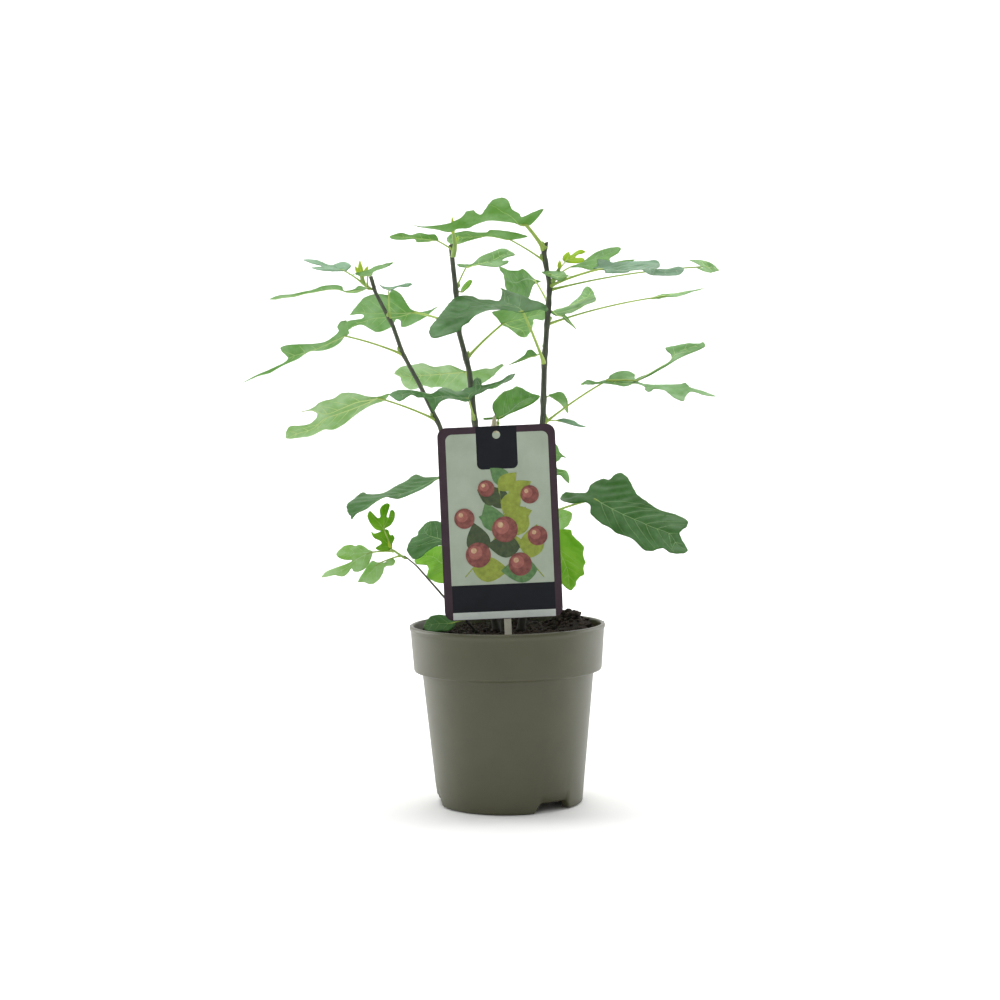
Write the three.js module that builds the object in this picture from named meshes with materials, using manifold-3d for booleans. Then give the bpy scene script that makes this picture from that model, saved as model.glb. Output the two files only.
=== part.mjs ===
// A young fig tree in a round nursery pot, with a plain picture card on a stick.
// Millimetres, +Z up. X runs across the card, and Y from the front of the plant to its back.
// Heights start at the pot's underside, and x and y here are taken from the pot's own axis.

import * as THREE from "three";
import { mergeVertices } from "three/addons/utils/BufferGeometryUtils.js";
import Module from "manifold-3d";

const wasm = await Module();
wasm.setup();

// ---------------------------------------------------------------- driving dimensions

const GAP = 0.3;

const POT = {
  height: 118.5,
  rim: 65,
  bandFoot: 62.3,
  bandHeight: 30,
  wallTop: 56.9,
  wallFoot: 48.5,
  wall: 1.6,
  floor: 7,
  floorThick: 2,
  lip: 1.2,
  footRing: 4.5,
  footBevel: 1,
  footDraft: 0.5,
  shoulder: 1.4,
  bead: 0.6,
  beadDrop: 2.6,
  facets: 36,
};
const NOTCH = { width: 25, height: 6.5, depth: 16, bearings: [-54, 66, 186] };

const SOIL_LEVEL = 113;
const SOIL = {
  clear: 0.4,
  edgeInset: 0.9,
  edgeDrop: 1.5,
  flatReach: 34,
  slope: 10,
  rings: [53, 45, 34],
  heaps: [
    { x: 42, y: 24, spread: 15, rise: 7.5 },
    { x: -46, y: -6, spread: 10, rise: 5.5 },
    { x: 6, y: 48, spread: 15, rise: 4.5 },
  ],
};

const CARD = { width: 75, height: 125.5, thick: 1, corner: 6, hole: 2.6, holeDrop: 5.8 };
const CARD_FOOT = { x: -2, y: -28, z: 124.7 };
const CARD_TURN = -1.4;
const CARD_LEAN = 3.6;
const STICK = { width: 4.6, thick: 1.6, reach: 50 };

const CUT_LEVEL = SOIL_LEVEL + GAP;
const FLARE = { reach: 8, swell: 0.5 };
const NODE_SWELL = { reach: 3.2, swell: 0.16 };
const STEM_SIDES = 7;
const STEM_STEP = 14;

const STALK = { foot: 1.1, tip: 0.75, slant: 1.2, sides: 4, steps: 2, rise: 0.05, sunk: 3 };
const BLADE = { thick: 1.2, step: 4, hub: 0.042, hubHigh: 0.034, ripples: 3 };
const BUD = { radius: 1.9, flatter: 0.8, length: 11, sunk: 2.5, sides: 6, rings: 4 };

// Each stem is a run of [height, x, y] from its flat cut to its tip, with its radii there.
const STEMS = {
  left: {
    foot: 2.8,
    tip: 1.7,
    way: [
      [CUT_LEVEL, -7, 5], [150, -14, 6], [200, -27, 9], [250, -43, 12], [276, -55, 14],
      [299, -67, 15], [317, -73, 16], [340, -84.5, 17], [351, -87.5, 18],
    ],
  },
  middle: {
    foot: 2.9,
    tip: 1.7,
    way: [
      [CUT_LEVEL, -1, -6], [180, -11, -6], [250, -19, -6], [287, -22.5, -7], [311, -28.5, -8],
      [336, -30, -9], [369, -33, -11],
    ],
  },
  right: {
    foot: 2.6,
    tip: 1.85,
    way: [
      [CUT_LEVEL, 9, 3], [180, 19, 4], [250, 25.7, 3], [290, 27.3, 2], [311, 29, 1],
      [330, 30.7, 0], [342, 31.5, -1], [354, 29.3, -1.5], [363, 28, -2], [370, 29.5, -2.5],
    ],
  },
  back: {
    foot: 2.4,
    tip: 1.6,
    way: [[CUT_LEVEL, 0, 14], [180, -8, 18], [230, -7, 21], [251, -6, 22]],
  },
  low: {
    foot: 1.7,
    tip: 1.1,
    way: [[CUT_LEVEL, -20, -4], [127, -32, -8], [139, -42.5, -10], [159, -59, -14], [164, -66, -15.5]],
  },
};

// The leafy tips: a short twig on its stem, which carries its leaves and buds.
const TWIGS = {
  left: { foot: 1.5, tip: 1.1, way: [[341.5, -89.5, 20.6], [346, -92.5, 20.5], [353, -94, 20]] },
  middle: { foot: 1.4, tip: 1.0, way: [[362, -30, -16], [368, -30, -16], [376, -31, -16]] },
  right: { foot: 1.4, tip: 1.0, way: [[344, 35.6, -1], [350, 36.8, -2], [356, 38.5, -3]] },
  low: { foot: 1.2, tip: 1.0, way: [[164.6, -67.6, -15.8], [167.5, -71, -17], [171, -75.5, -18]] },
};

// A leaf's edge round its stalk: [angle from the midrib, reach, lift off its plane], tips and
// hollows in turn, in degrees and shares of its length. One that starts at 0 is the same on both sides.
const OUTLINES = {
  fork: [
    [-118, 0.11], [-101, 0.3, 0.01], [-75, 0.39, 0.04], [-53, 0.41, 0.02], [-25, 0.39, -0.02],
    [-13, 0.72, 0.01], [0, 1], [5, 0.75, -0.01], [4, 0.52, -0.02], [26, 0.74, 0.01], [40, 0.57, 0.02],
    [55, 0.35, 0.02], [180, 0.05],
  ],
  gull: [
    [-75, 0.33, -0.03], [-79, 0.6, -0.03], [-72, 0.37, 0.02], [-32, 0.27, 0.03], [-13, 0.51, 0.06],
    [0, 1], [1, 0.83, -0.03], [0, 0.23], [113, 0.18, 0.01], [180, 0.05],
  ],
  ribbon: [
    [-50, 0.08], [-11, 0.17], [0, 0.25, 0.01], [0, 0.59, 0.02], [-2, 0.93], [0, 1], [4, 0.91, 0.01],
    [4, 0.78, 0.01], [16, 0.47, 0.04], [19, 0.24, 0.01], [8, 0.21], [19, 0.1], [56, 0.09], [117, 0.06],
    [180, 0.05],
  ],
  wisp: [
    [-116, 0.08], [0, 0.38, 0.01], [-1, 0.78, -0.04], [0, 1], [5, 0.79, 0.05], [3, 0.53, 0.05],
    [14, 0.27, 0.02], [52, 0.21, 0.01], [68, 0.47, 0.02], [73, 0.22, -0.01], [180, 0.05],
  ],
  lance: [
    [-102, 0.02], [-63, 0.08], [-45, 0.15], [0, 0.34], [-2, 0.72, -0.01], [0, 1], [1, 0.59], [5, 0.55],
    [17, 0.63, 0.03], [18, 0.55, 0.04], [13, 0.28, 0.01], [13, 0.17], [56, 0.1], [66, 0.16],
    [80, 0.18, 0.01], [100, 0.17], [99, 0.12], [180, 0.05],
  ],
  fishtail: [
    [-128, 0.12], [-35, 0.18], [-28, 0.31], [-29, 0.44], [-24, 0.56, -0.01], [-17, 0.63], [-15, 0.77],
    [-11, 0.86], [-5, 1.01], [0, 1], [5, 0.95], [1, 0.73], [5, 0.66], [11, 0.66], [15, 0.72, 0.01],
    [16, 0.86, 0.01], [18, 0.72, 0.01], [23, 0.63, 0.02], [28, 0.49, 0.02], [37, 0.44, 0.02],
    [42, 0.32, 0.01], [41, 0.14], [112, 0.03], [179, 0.13],
  ],
  heel: [
    [-5, 0.04], [-4, 0.22], [-20, 0.51, -0.02], [-11, 0.75, -0.02], [-7, 0.78], [-5, 0.68], [-1, 0.8],
    [0, 1], [9, 0.94, 0.04], [13, 0.86, 0.05], [20, 0.41, 0.03], [14, 0.12], [79, 0.13], [108, 0.17],
    [160, 0.11],
  ],
  strip: [
    [-58, 0.08], [-45, 0.23, 0.01], [-28, 0.4, 0.01], [-5, 0.46], [-10, 0.71, -0.01], [-6, 0.93, -0.01],
    [0, 1], [9, 0.81, 0.02], [9, 0.59, 0.01], [26, 0.49, 0.02], [35, 0.28, 0.02], [65, 0.19, 0.01],
    [180, 0.05],
  ],
  broad: [
    [-162, 0.24], [-150, 0.22], [-60, 0.24], [-41, 0.31, -0.01], [-22, 0.23], [-12, 0.27, -0.01],
    [-24, 0.39, -0.02], [-19, 0.63, -0.02], [-3, 0.78, -0.01], [-5, 1.02, -0.01], [0, 1], [4, 0.95],
    [5, 0.74, -0.01], [10, 0.7, -0.01], [10, 0.9], [35, 0.71], [47, 0.58], [56, 0.45],
    [70, 0.48, -0.01], [78, 0.37, -0.01], [85, 0.07], [180, 0.1], [-180, 0.24, -0.01],
    [177, 0.38, 0.01],
  ],
  veil: [
    [-180, 0.44, 0.02], [-167, 0.36, -0.01], [-131, 0.29, 0.01], [-97, 0.32, 0.02], [-75, 0.31],
    [-59, 0.42, -0.01], [-31, 0.5, -0.01], [-26, 0.62, -0.01], [-19, 0.69, -0.01], [-19, 0.89, -0.02],
    [-16, 0.93, -0.02], [-11, 0.95, -0.02], [-4, 0.94], [0, 1], [7, 0.89, 0.01], [18, 0.57, 0.01],
    [12, 0.43, 0.02], [41, 0.22], [55, 0.03], [172, 0.1], [168, 0.27], [172, 0.37], [166, 0.53, 0.01],
    [169, 0.55, 0.01],
  ],
  sweep: [
    [-157, 0.78, 0.18], [-155, 0.69, 0.16], [-155, 0.56, 0.12], [-143, 0.33, 0.06], [-135, 0.4, 0.09],
    [-128, 0.42, 0.09], [-124, 0.36, 0.07], [-126, 0.26, 0.02], [-112, 0.22, 0.01], [-97, 0.2],
    [-80, 0.21, -0.01], [-73, 0.31, -0.04], [-63, 0.35, -0.05], [-11, 0.39, 0.04], [-2, 0.49, 0.03],
    [-6, 0.86, 0.02], [0, 1], [4, 0.98], [7, 0.93, -0.01], [1, 0.73, 0.02], [5, 0.68, 0.01],
    [5, 0.6, 0.01], [9, 0.57], [25, 0.63, -0.03], [15, 0.42, 0.01], [13, 0.31, 0.02], [45, 0.12],
    [86, 0.05], [-180, 0.07], [179, 0.17, 0.01], [-180, 0.29, 0.15], [-180, 0.38, 0.22],
    [180, 0.46, 0.26],
  ],
  apron: [
    [-116, 0.48, 0.05], [-88, 0.66, 0.02], [-68, 0.9], [-41, 0.89, -0.02], [-43, 0.68, 0.01],
    [-13, 0.87, -0.02], [0, 1], [5, 0.83, 0.01], [137, 0.08], [177, 0.3], [-180, 0.51, 0.07],
  ],
  spindle: [
    [-131, 0.05], [-2, 0.75, -0.06], [0, 1], [4, 0.95, 0.03], [10, 0.66, 0.01], [19, 0.29, -0.01],
    [180, 0.05],
  ],
  bent: [
    [-180, 0.28, -0.02], [-174, 0.26], [-160, 0.24], [-87, 0.47, 0.01], [-87, 0.42], [-67, 0.31, -0.01],
    [-53, 0.48, -0.01], [-54, 0.55], [-52, 0.62], [-49, 0.67], [-45, 0.71, -0.01], [-34, 0.74, -0.01],
    [-5, 0.95, 0.01], [0, 1], [4, 1.01, -0.01], [6, 0.98, -0.01], [5, 0.7, -0.01], [2, 0.66],
    [0, 0.58, 0.01], [0, 0.47, 0.09], [0, 0.39, 0.1], [0, 0.12], [32, 0.04], [167, 0.18], [159, 0.24],
  ],
  kite: [
    [-29, 0.05], [-20, 0.44, 0.03], [-14, 0.52, 0.05], [-10, 0.76, 0.08], [-10, 1.03, 0.12],
    [-8, 1.03, 0.11], [-5, 0.95, 0.07], [0, 1], [4, 0.97, -0.02], [9, 0.83, -0.06], [15, 0.66, -0.11],
    [20, 0.49, -0.15], [17, 0.14], [176, 0.15],
  ],
  drip: [[-78, 0.13], [-61, 0.31, 0.02], [-46, 0.41, 0.03], [-24, 0.43, 0.01], [0, 1], [180, 0.05]],
  crown: [
    [-78, 0.04], [-1, 0.09], [0, 0.31, 0.03], [0, 0.42, 0.01], [-6, 0.5], [-6, 0.58], [-8, 0.65, -0.01],
    [-3, 0.88], [0, 1], [0, 0.91, -0.02], [2, 0.66], [8, 0.59, 0.01], [15, 0.59, 0.01],
    [19, 0.54, 0.01], [16, 0.45, 0.01], [36, 0.49, 0.01], [43, 0.48, 0.01], [49, 0.45],
    [51, 0.41, -0.01], [48, 0.29, -0.01], [55, 0.19], [55, 0.11], [107, 0.25, -0.01], [180, 0.05],
  ],
  saddle: [
    [-44, 0.05], [0, 0.16], [0, 0.34, 0.04], [0, 0.52, 0.01], [-12, 0.95, -0.01], [-8, 1, -0.01],
    [0, 1], [11, 0.92], [24, 0.7], [26, 0.51], [37, 0.39], [51, 0.41], [73, 0.25, 0.01], [163, 0.33],
  ],
  paddle: [
    [-78, 0.05], [-66, 0.4, -0.01], [-61, 0.57, -0.01], [-46, 1], [-40, 1.16, 0.02], [-38, 0.95, 0.01],
    [-44, 0.76, 0.02], [-23, 0.69], [0, 1], [4, 0.99, 0.02], [9, 0.89, 0.03], [13, 0.73, 0.04],
    [15, 0.59, 0.04], [6, 0.15], [180, 0.05],
  ],
  twin: [
    [-179, 0.08], [-16, 0.07], [-39, 0.16], [-9, 0.37, -0.02], [-2, 0.38], [-2, 0.5], [-9, 0.62, -0.03],
    [-9, 0.69, -0.05], [-4, 0.98, -0.04], [0, 1], [3, 0.94, 0.02], [2, 0.8], [0, 0.67, 0.01],
    [2, 0.7, 0.02], [48, 0.7, -0.02], [52, 0.67, 0.01], [81, 0.26, 0.02], [100, 0.24, 0.03],
    [122, 0.22, 0.02], [133, 0.07],
  ],
  pincer: [
    [-176, 0.15], [-180, 0.53, -0.08], [-166, 0.51, -0.07], [-154, 0.66, -0.03], [-1, 0.84, -0.04],
    [0, 1], [17, 0.56, 0.07], [43, 0.69, -0.04], [167, 0.75], [173, 0.3, 0.01],
  ],
  sliver: [
    [-174, 0.3, -0.01], [-146, 0.06], [-117, 0.22, -0.01], [-114, 0.55, 0.01], [-111, 0.7, 0.04],
    [0, 1], [16, 0.15], [64, 0.21, 0.01], [72, 0.5, -0.03],
  ],
  cut: [
    [-112, 0.06], [-18, 0.2], [0, 0.26, 0.01], [-2, 0.35], [-13, 0.38], [-15, 0.43, -0.01], [-5, 0.45],
    [-4, 0.54], [-15, 0.68], [-15, 0.77, -0.01], [-7, 0.75], [0, 0.77, 0.01], [-1, 0.9], [0, 1],
    [10, 0.75], [19, 0.71], [15, 0.65], [12, 0.53], [10, 0.33], [31, 0.27], [47, 0.3, 0.01],
    [58, 0.26, 0.02], [71, 0.18, 0.01], [87, 0.09], [83, 0.04], [179, 0.08], [180, 0.17],
    [180, 0.24, -0.04],
  ],
  tail: [
    [-44, 0.03], [0, 1], [5, 1.01, 0.01], [5, 0.97, 0.01], [21, 0.71, 0.01], [26, 0.63, 0.01],
    [11, 0.58], [6, 0.5], [49, 0.05], [180, 0.05],
  ],
  wing: [
    [-135, 0.13], [-124, 0.27, -0.03], [-127, 0.86, -0.18], [-116, 0.33, -0.03], [-114, 0.5, -0.01],
    [-108, 0.68, 0.06], [-105, 0.91, 0.09], [-3, 0.95, -0.05], [0, 1], [3, 0.99, 0.07], [4, 0.92, 0.07],
    [3, 0.73, 0.02], [0, 0.26, -0.02], [4, 0.12], [180, 0.05],
  ],
  hook: [
    [-125, 0.17, 0.01], [-120, 0.45, 0.12], [-113, 0.6, 0.11], [-104, 0.75, -0.01], [-2, 0.89, 0.08],
    [0, 1], [9, 0.32, 0.06], [180, 0.05],
  ],
  blade: [
    [-16, 0.1], [-8, 0.57], [0, 1], [5, 0.7, 0.01], [15, 0.61, 0.02], [36, 0.29, 0.02], [180, 0.05],
  ],
  claw: [
    [-63, 0.19], [-36, 0.75], [-26, 0.85], [-16, 0.75], [-2, 0.47, -0.01], [0, 1], [13, 0.92, 0.02],
    [22, 0.73, 0.01], [31, 0.41, -0.01], [47, 0.56, 0.01], [57, 0.51, 0.03], [110, 0.2], [180, 0.05],
  ],
  dart: [
    [-179, 0.22], [-38, 0.17, -0.01], [-11, 0.54, -0.11], [-2, 0.73, -0.02], [0, 1], [1, 0.69, 0.02],
    [106, 0.56, -0.04], [112, 0.31, 0.02], [150, 0.17, 0.01], [178, 0.3, 0.03],
  ],
  drop: [
    [-103, 0.04], [-5, 0.72, -0.01], [0, 1], [28, 0.92, 0.01], [43, 0.67, 0.02], [66, 0.39, 0.01],
    [79, 0.26], [123, 0.09], [146, 0.29], [156, 0.3], [163, 0.16],
  ],
  ramp: [
    [-72, 0.08], [-58, 0.16], [-65, 0.3], [-29, 0.43, -0.01], [-14, 0.58, 0.01], [-19, 0.71],
    [-25, 0.76], [-18, 0.85], [-10, 0.95, 0.01], [0, 1], [8, 1.04, -0.01], [4, 0.94], [4, 0.82],
    [0, 0.6, 0.02], [10, 0.51, -0.01], [19, 0.27, -0.01], [27, 0.15], [29, 0.03], [180, 0.05],
  ],
  shield: [
    [-133, 0.32, 0.01], [-126, 0.23], [-117, 0.1], [-85, 0.1], [-72, 0.19], [-49, 0.3, -0.01],
    [-32, 0.43, -0.02], [-22, 0.56, -0.01], [-20, 0.71, -0.02], [-16, 0.76, -0.02], [-9, 0.81, -0.01],
    [-9, 0.9], [-3, 0.99], [0, 1], [10, 0.85], [17, 0.89], [23, 0.89, -0.01], [27, 0.76, -0.01],
    [29, 0.62, -0.01], [38, 0.51, -0.01], [51, 0.44, -0.01], [77, 0.46, 0.02], [87, 0.46, 0.02],
    [93, 0.31, 0.01], [103, 0.29, 0.01], [118, 0.23], [133, 0.18], [163, 0.11], [180, 0.2, -0.01],
    [-180, 0.3, -0.08], [180, 0.33, -0.17],
  ],
  spade: [[0, 1], [25, 0.72], [50, 0.66], [80, 0.52], [115, 0.46], [150, 0.36], [180, 0.1]],
  hand: [[0, 1], [20, 0.55], [40, 0.86], [62, 0.42], [88, 0.6], [125, 0.4], [150, 0.38], [180, 0.1]],
  mitten: [[0, 1], [28, 0.55], [50, 0.8], [85, 0.42], [120, 0.45], [150, 0.36], [180, 0.1]],
  scallop: [
    [-88, 0.31, 0.02], [-46, 0.48, 0.01], [-24, 0.73], [-9, 0.9], [0, 1], [10, 0.91], [17, 0.8],
    [34, 0.78], [41, 0.69], [54, 0.67], [67, 0.58], [86, 0.61], [119, 0.46, 0.01], [128, 0.52, 0.01],
    [180, 0.35, -0.03],
  ],
  trident: [
    [-60, 0.08], [-55, 0.3], [-39, 0.56, -0.01], [-28, 0.73], [-17, 0.81, -0.01], [-12, 0.73],
    [-15, 0.47, 0.01], [-6, 0.49], [-7, 0.95], [0, 1], [10, 0.95, -0.01], [19, 0.77], [23, 0.5],
    [34, 0.52, -0.01], [42, 0.91], [54, 0.85, 0.01], [89, 0.35, -0.01], [180, 0.05],
  ],
  frill: [
    [-73, 0.18], [-74, 0.43, 0.01], [-61, 0.56, 0.01], [-49, 0.52, 0.01], [-45, 0.75, 0.02], [-29, 0.8],
    [0, 0.85, -0.02], [0, 1], [15, 0.71, 0.01], [13, 0.48], [23, 0.39], [51, 0.65], [61, 0.57, -0.02],
    [95, 0.22, -0.01], [180, 0.05],
  ],
  thumb: [
    [-96, 0.08], [-75, 0.29, 0.01], [-56, 0.52], [-36, 0.61, -0.01], [-24, 0.57], [-13, 0.47],
    [-3, 0.36, 0.01], [-1, 0.49, 0.01], [-5, 0.85], [0, 1], [7, 0.8], [17, 0.71, -0.01],
    [17, 0.48, 0.01], [24, 0.52], [35, 0.48, -0.01], [49, 0.35, -0.01], [67, 0.15], [180, 0.05],
  ],
  spoon: [
    [-71, 0.12], [-74, 0.33, -0.01], [0, 1], [28, 0.92, -0.01], [40, 0.84, -0.01], [52, 0.68, -0.01],
    [88, 0.29], [118, 0.51, -0.01], [136, 0.57, 0.01], [153, 0.48, 0.01], [135, 0.18], [180, 0.05],
  ],
  wide: [[0, 1], [12, 0.8], [30, 0.85], [48, 0.62], [75, 0.66], [105, 0.5], [145, 0.6], [180, 0.25]],
};

// Each leaf: the stem it stands on and how high, its stalk as [length, bearing, rise], its blade
// as [length, heading, rise], and its roll about its midrib. Some also curl along it, fold across
// it or ripple, and differ in width. A bearing or heading of 0 points along +X, and of 90 to the back.
const LEAVES = [
  { on: "left_twig", at: 346, stalk: [15.5, 191, 34], blade: [30, 168, 16], roll: -24, outline: "fork" },
  { on: "left_twig", at: 344, stalk: [16, 276, 23], blade: [31, 308, 13], roll: 1, outline: "gull" },
  { on: "left_twig", at: 343, stalk: [17, 257, -7], blade: [64, 204, -6], roll: 20, outline: "ribbon" },
  { node: "leaf_left_4", on: "left", at: 321, stalk: [21.5, 269, 68], blade: [27, 55, 10], roll: 16,
    outline: "wisp" },
  { node: "leaf_left_6", on: "left", at: 298, stalk: [41.5, 193, 18], blade: [79, 206, -23], roll: 40,
    outline: "lance" },
  { node: "leaf_left_7", on: "left", at: 254, stalk: [43, 195, 21], blade: [65, 193, -20], roll: 40,
    outline: "fishtail" },
  { node: "leaf_middle_3", on: "middle", at: 339, stalk: [23, 66, 43], blade: [43, 38, 13], roll: 30,
    outline: "heel" },
  { on: "middle_twig", at: 364, stalk: [13.5, 190, 31], blade: [32, 202, 4], roll: 20, outline: "strip" },
  { node: "leaf_middle_5", on: "middle", at: 315, stalk: [52.5, 128, 13], blade: [48, 168, -9], roll: 50,
    outline: "broad" },
  { node: "leaf_middle_8", on: "middle", at: 270, stalk: [36.5, 97, 26], blade: [52, 162, 0], roll: 44,
    outline: "veil" },
  { node: "leaf_middle_9", on: "middle", at: 253, stalk: [26, 260, 35], blade: [59, 213, 3], roll: -31,
    outline: "sweep" },
  { node: "leaf_middle_1", on: "middle", at: 294, stalk: [40, 37, 37], blade: [33, 63, -16], roll: -26,
    outline: "apron" },
  { node: "leaf_middle_young", on: "middle", at: 338, stalk: [4, 16, -4], blade: [25, 73, 20], roll: 15,
    outline: "spindle" },
  { node: "leaf_right_2", on: "right", at: 290, stalk: [46, 243, 47], blade: [66, 202, -12], roll: -33,
    outline: "bent" },
  { node: "leaf_right_4", on: "right", at: 329, stalk: [26, 115, 41], blade: [56, 111, 2], roll: -75,
    outline: "kite" },
  { node: "leaf_right_5", on: "right", at: 298, stalk: [12, 120, -11], blade: [23, 153, -15], roll: -57,
    outline: "drip" },
  { node: "leaf_right_tip_1", on: "right", at: 365, stalk: [23, 224, 42], blade: [79, 202, -1], roll: 33,
    outline: "crown" },
  { node: "leaf_right_tip_2", on: "right", at: 357, stalk: [28, 186, 32], blade: [42, 169, 2], roll: 22,
    outline: "saddle" },
  { on: "right_twig", at: 347, stalk: [19, 50, 23], blade: [38, 19, 19], roll: 19, outline: "paddle" },
  { node: "leaf_right_7", on: "right", at: 341, stalk: [38.5, 329, 14], blade: [60, 330, -3], roll: 13,
    outline: "twin" },
  { node: "leaf_right_8", on: "right", at: 338.5, stalk: [109.5, 13, 8], blade: [32, 67, -1], roll: 30,
    outline: "pincer" },
  { node: "leaf_right_9", on: "right", at: 316, stalk: [94, 25, 12], blade: [41, 48, 9], roll: -2,
    outline: "sliver" },
  { node: "leaf_right_10", on: "right", at: 250, stalk: [53, 338, 32], blade: [73, 345, -9], roll: 20,
    outline: "cut",
    also: { stalk: [19.5, 351, -1], blade: [52, 11, 25], roll: 41,
      outline: "tail" } },
  { node: "leaf_right_11", on: "right", at: 325, stalk: [8.5, 68, -2], blade: [50, 53, 18], roll: -5,
    outline: "wing" },
  { node: "leaf_right_12", on: "right", at: 266, stalk: [16.5, 74, 11], blade: [27, 57, -28], roll: 20,
    outline: "hook" },
  { node: "leaf_right_13", on: "right", at: 252, stalk: [14.5, 49, 1], blade: [21, 11, -12], roll: 39,
    outline: "blade" },
  { on: "right_twig", at: 350, stalk: [11, 47, 42], blade: [15, 9, 25], roll: 50, outline: "claw" },
  { on: "right_twig", at: 345.5, stalk: [10, 248, 16], blade: [29, 305, -7], roll: 10, outline: "dart" },
  { node: "leaf_back_high", on: "back", at: 247, stalk: [8.5, 13, 68], blade: [37, 35, 22], roll: 40,
    outline: "drop" },
  { node: "leaf_low_1", on: "left", at: 200, stalk: [28.5, 226, 34], blade: [67, 204, -18], roll: -17,
    outline: "ramp" },
  { node: "leaf_low_7", on: "right", at: 187, stalk: [48.5, 326, 17], blade: [70, 341, -28], roll: 35,
    outline: "shield" },
  { node: "leaf_low_3", on: "left", at: 160, stalk: [28, 158, 25], blade: [38, 139, 4], roll: -40,
    outline: "spade", curl: 10, fold: 8, wave: 0.06 },
  { node: "leaf_low_4", on: "left", at: 147, stalk: [32, 139, 16], blade: [40, 131, 4], roll: -44,
    outline: "hand", curl: 10, fold: 8, wave: 0.06 },
  { node: "leaf_low_5", on: "right", at: 220, stalk: [23, 76, 24], blade: [40, 67, 6], roll: 20,
    outline: "mitten", curl: 8, fold: 8, wave: 0.05, width: [0.8, 0.8] },
  { node: "leaf_low_6", on: "right", at: 200, stalk: [34, 78, 23], blade: [41, 64, 2], roll: 24,
    outline: "mitten", curl: 8, fold: 8, wave: 0.05, width: [0.9, 0.9] },
  { node: "leaf_low_8", on: "right", at: 167, stalk: [29.5, 65, 35], blade: [40, 59, 4], roll: 30,
    outline: "mitten", curl: 8, fold: 8, wave: 0.05, width: [0.9, 0.9] },
  { node: "leaf_low_9", on: "right", at: 160, stalk: [24.5, 326, 26], blade: [33, 297, -61], roll: -5,
    outline: "scallop" },
  { node: "leaf_on_soil", on: "low", at: 122, stalk: [13, 215, -8], blade: [20, 232, 4], roll: -10,
    outline: "spade", curl: 16, fold: 8, wave: 0.06, width: [1.2, 1.2] },
  { on: "low_twig", at: 170.5, stalk: [14, 160, 67], blade: [18, 69, 69], roll: 10, outline: "trident" },
  { on: "low_twig", at: 170.5, stalk: [1.5, 199, 72], blade: [17, 171, 39], roll: -45, outline: "frill" },
  { on: "low_twig", at: 169, stalk: [16, 182, -2], blade: [37, 204, -23], roll: -35, outline: "thumb" },
  { on: "low_twig", at: 166, stalk: [15, 195, -17], blade: [19, 203, -37], roll: -35, outline: "spoon" },
];

// The leaves of the low back: [stem, height on it, bearing, stalk length].
const LOW_BACK = [
  ["back", 124, 100, 36],
  ["right", 142, 92, 40],
  ["back", 158, 97, 46],
  ["back", 178, 92, 36],
  ["back", 198, 100, 44],
  ["back", 216, 88, 34],
  ["back", 234, 104, 30],
];
const LOW_BACK_BLADE = {
  stalkRise: 18, length: 46, longer: 6, rise: -2, curl: 16, fold: 8, wave: 0.05, width: [0.9, 0.9],
};
const LOW_BACK_OUTLINES = ["hand", "mitten", "wide"];

/** The leaves of the low back, which differ in length and outline by turns. */
function lowBackLeaves() {
  return LOW_BACK.map(([stem, height, bearing, stalk], i) => ({
    node: `leaf_back_${i + 1}`,
    on: stem,
    at: height,
    stalk: [stalk, bearing, LOW_BACK_BLADE.stalkRise],
    blade: [LOW_BACK_BLADE.length + LOW_BACK_BLADE.longer * (i % 2), bearing, LOW_BACK_BLADE.rise],
    roll: 0,
    curl: LOW_BACK_BLADE.curl,
    fold: LOW_BACK_BLADE.fold,
    outline: LOW_BACK_OUTLINES[i % LOW_BACK_OUTLINES.length],
    width: LOW_BACK_BLADE.width,
    wave: LOW_BACK_BLADE.wave,
  }));
}

// ---------------------------------------------------------------- materials

const finish = (color, roughness) => new THREE.MeshStandardMaterial({ color, roughness, metalness: 0 });
const potPlastic = finish(0x77786a, 0.55);
const potSoil = finish(0x2a211b, 0.95);
const bark = finish(0x4d4a3c, 0.8);
const leafGreen = finish(0x4f8a45, 0.6);
const youngGreen = finish(0x86b52c, 0.6);
const cardStock = finish(0xc3cbb8, 0.4);
const stickPlastic = finish(0xd9d6c6, 0.5);

// ---------------------------------------------------------------- solids

const radians = THREE.MathUtils.degToRad;

/** A direction from its bearing in plan and its rise above level, in degrees. */
function direction(bearing, rise) {
  const level = Math.cos(radians(rise));
  return new THREE.Vector3(
    level * Math.cos(radians(bearing)),
    level * Math.sin(radians(bearing)),
    Math.sin(radians(rise)),
  );
}

/** A closed geometry as a manifold solid, turned the right way out. */
function toSolid(geometry) {
  const bare = geometry.clone();
  bare.deleteAttribute("normal");
  bare.deleteAttribute("uv");
  const merged = mergeVertices(bare, 1e-4);
  const vertProperties = new Float32Array(merged.attributes.position.array);
  const triVerts = new Uint32Array(merged.index.array);
  if (signedVolume(vertProperties, triVerts) < 0) {
    for (let i = 0; i < triVerts.length; i += 3) {
      [triVerts[i], triVerts[i + 1]] = [triVerts[i + 1], triVerts[i]];
    }
  }
  return new wasm.Manifold(new wasm.Mesh({ numProp: 3, vertProperties, triVerts }));
}

function signedVolume(points, corners) {
  const at = (i) => new THREE.Vector3().fromArray(points, corners[i] * 3);
  let six = 0;
  for (let i = 0; i < corners.length; i += 3) {
    six += at(i).dot(at(i + 1).cross(at(i + 2)));
  }
  return six / 6;
}

/** A manifold solid as a geometry. */
function toGeometry(solid) {
  const mesh = solid.getMesh();
  const geometry = new THREE.BufferGeometry();
  geometry.setAttribute("position", new THREE.BufferAttribute(new Float32Array(mesh.vertProperties), 3));
  geometry.setIndex(new THREE.BufferAttribute(new Uint32Array(mesh.triVerts), 1));
  geometry.computeVertexNormals();
  return geometry;
}

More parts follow.
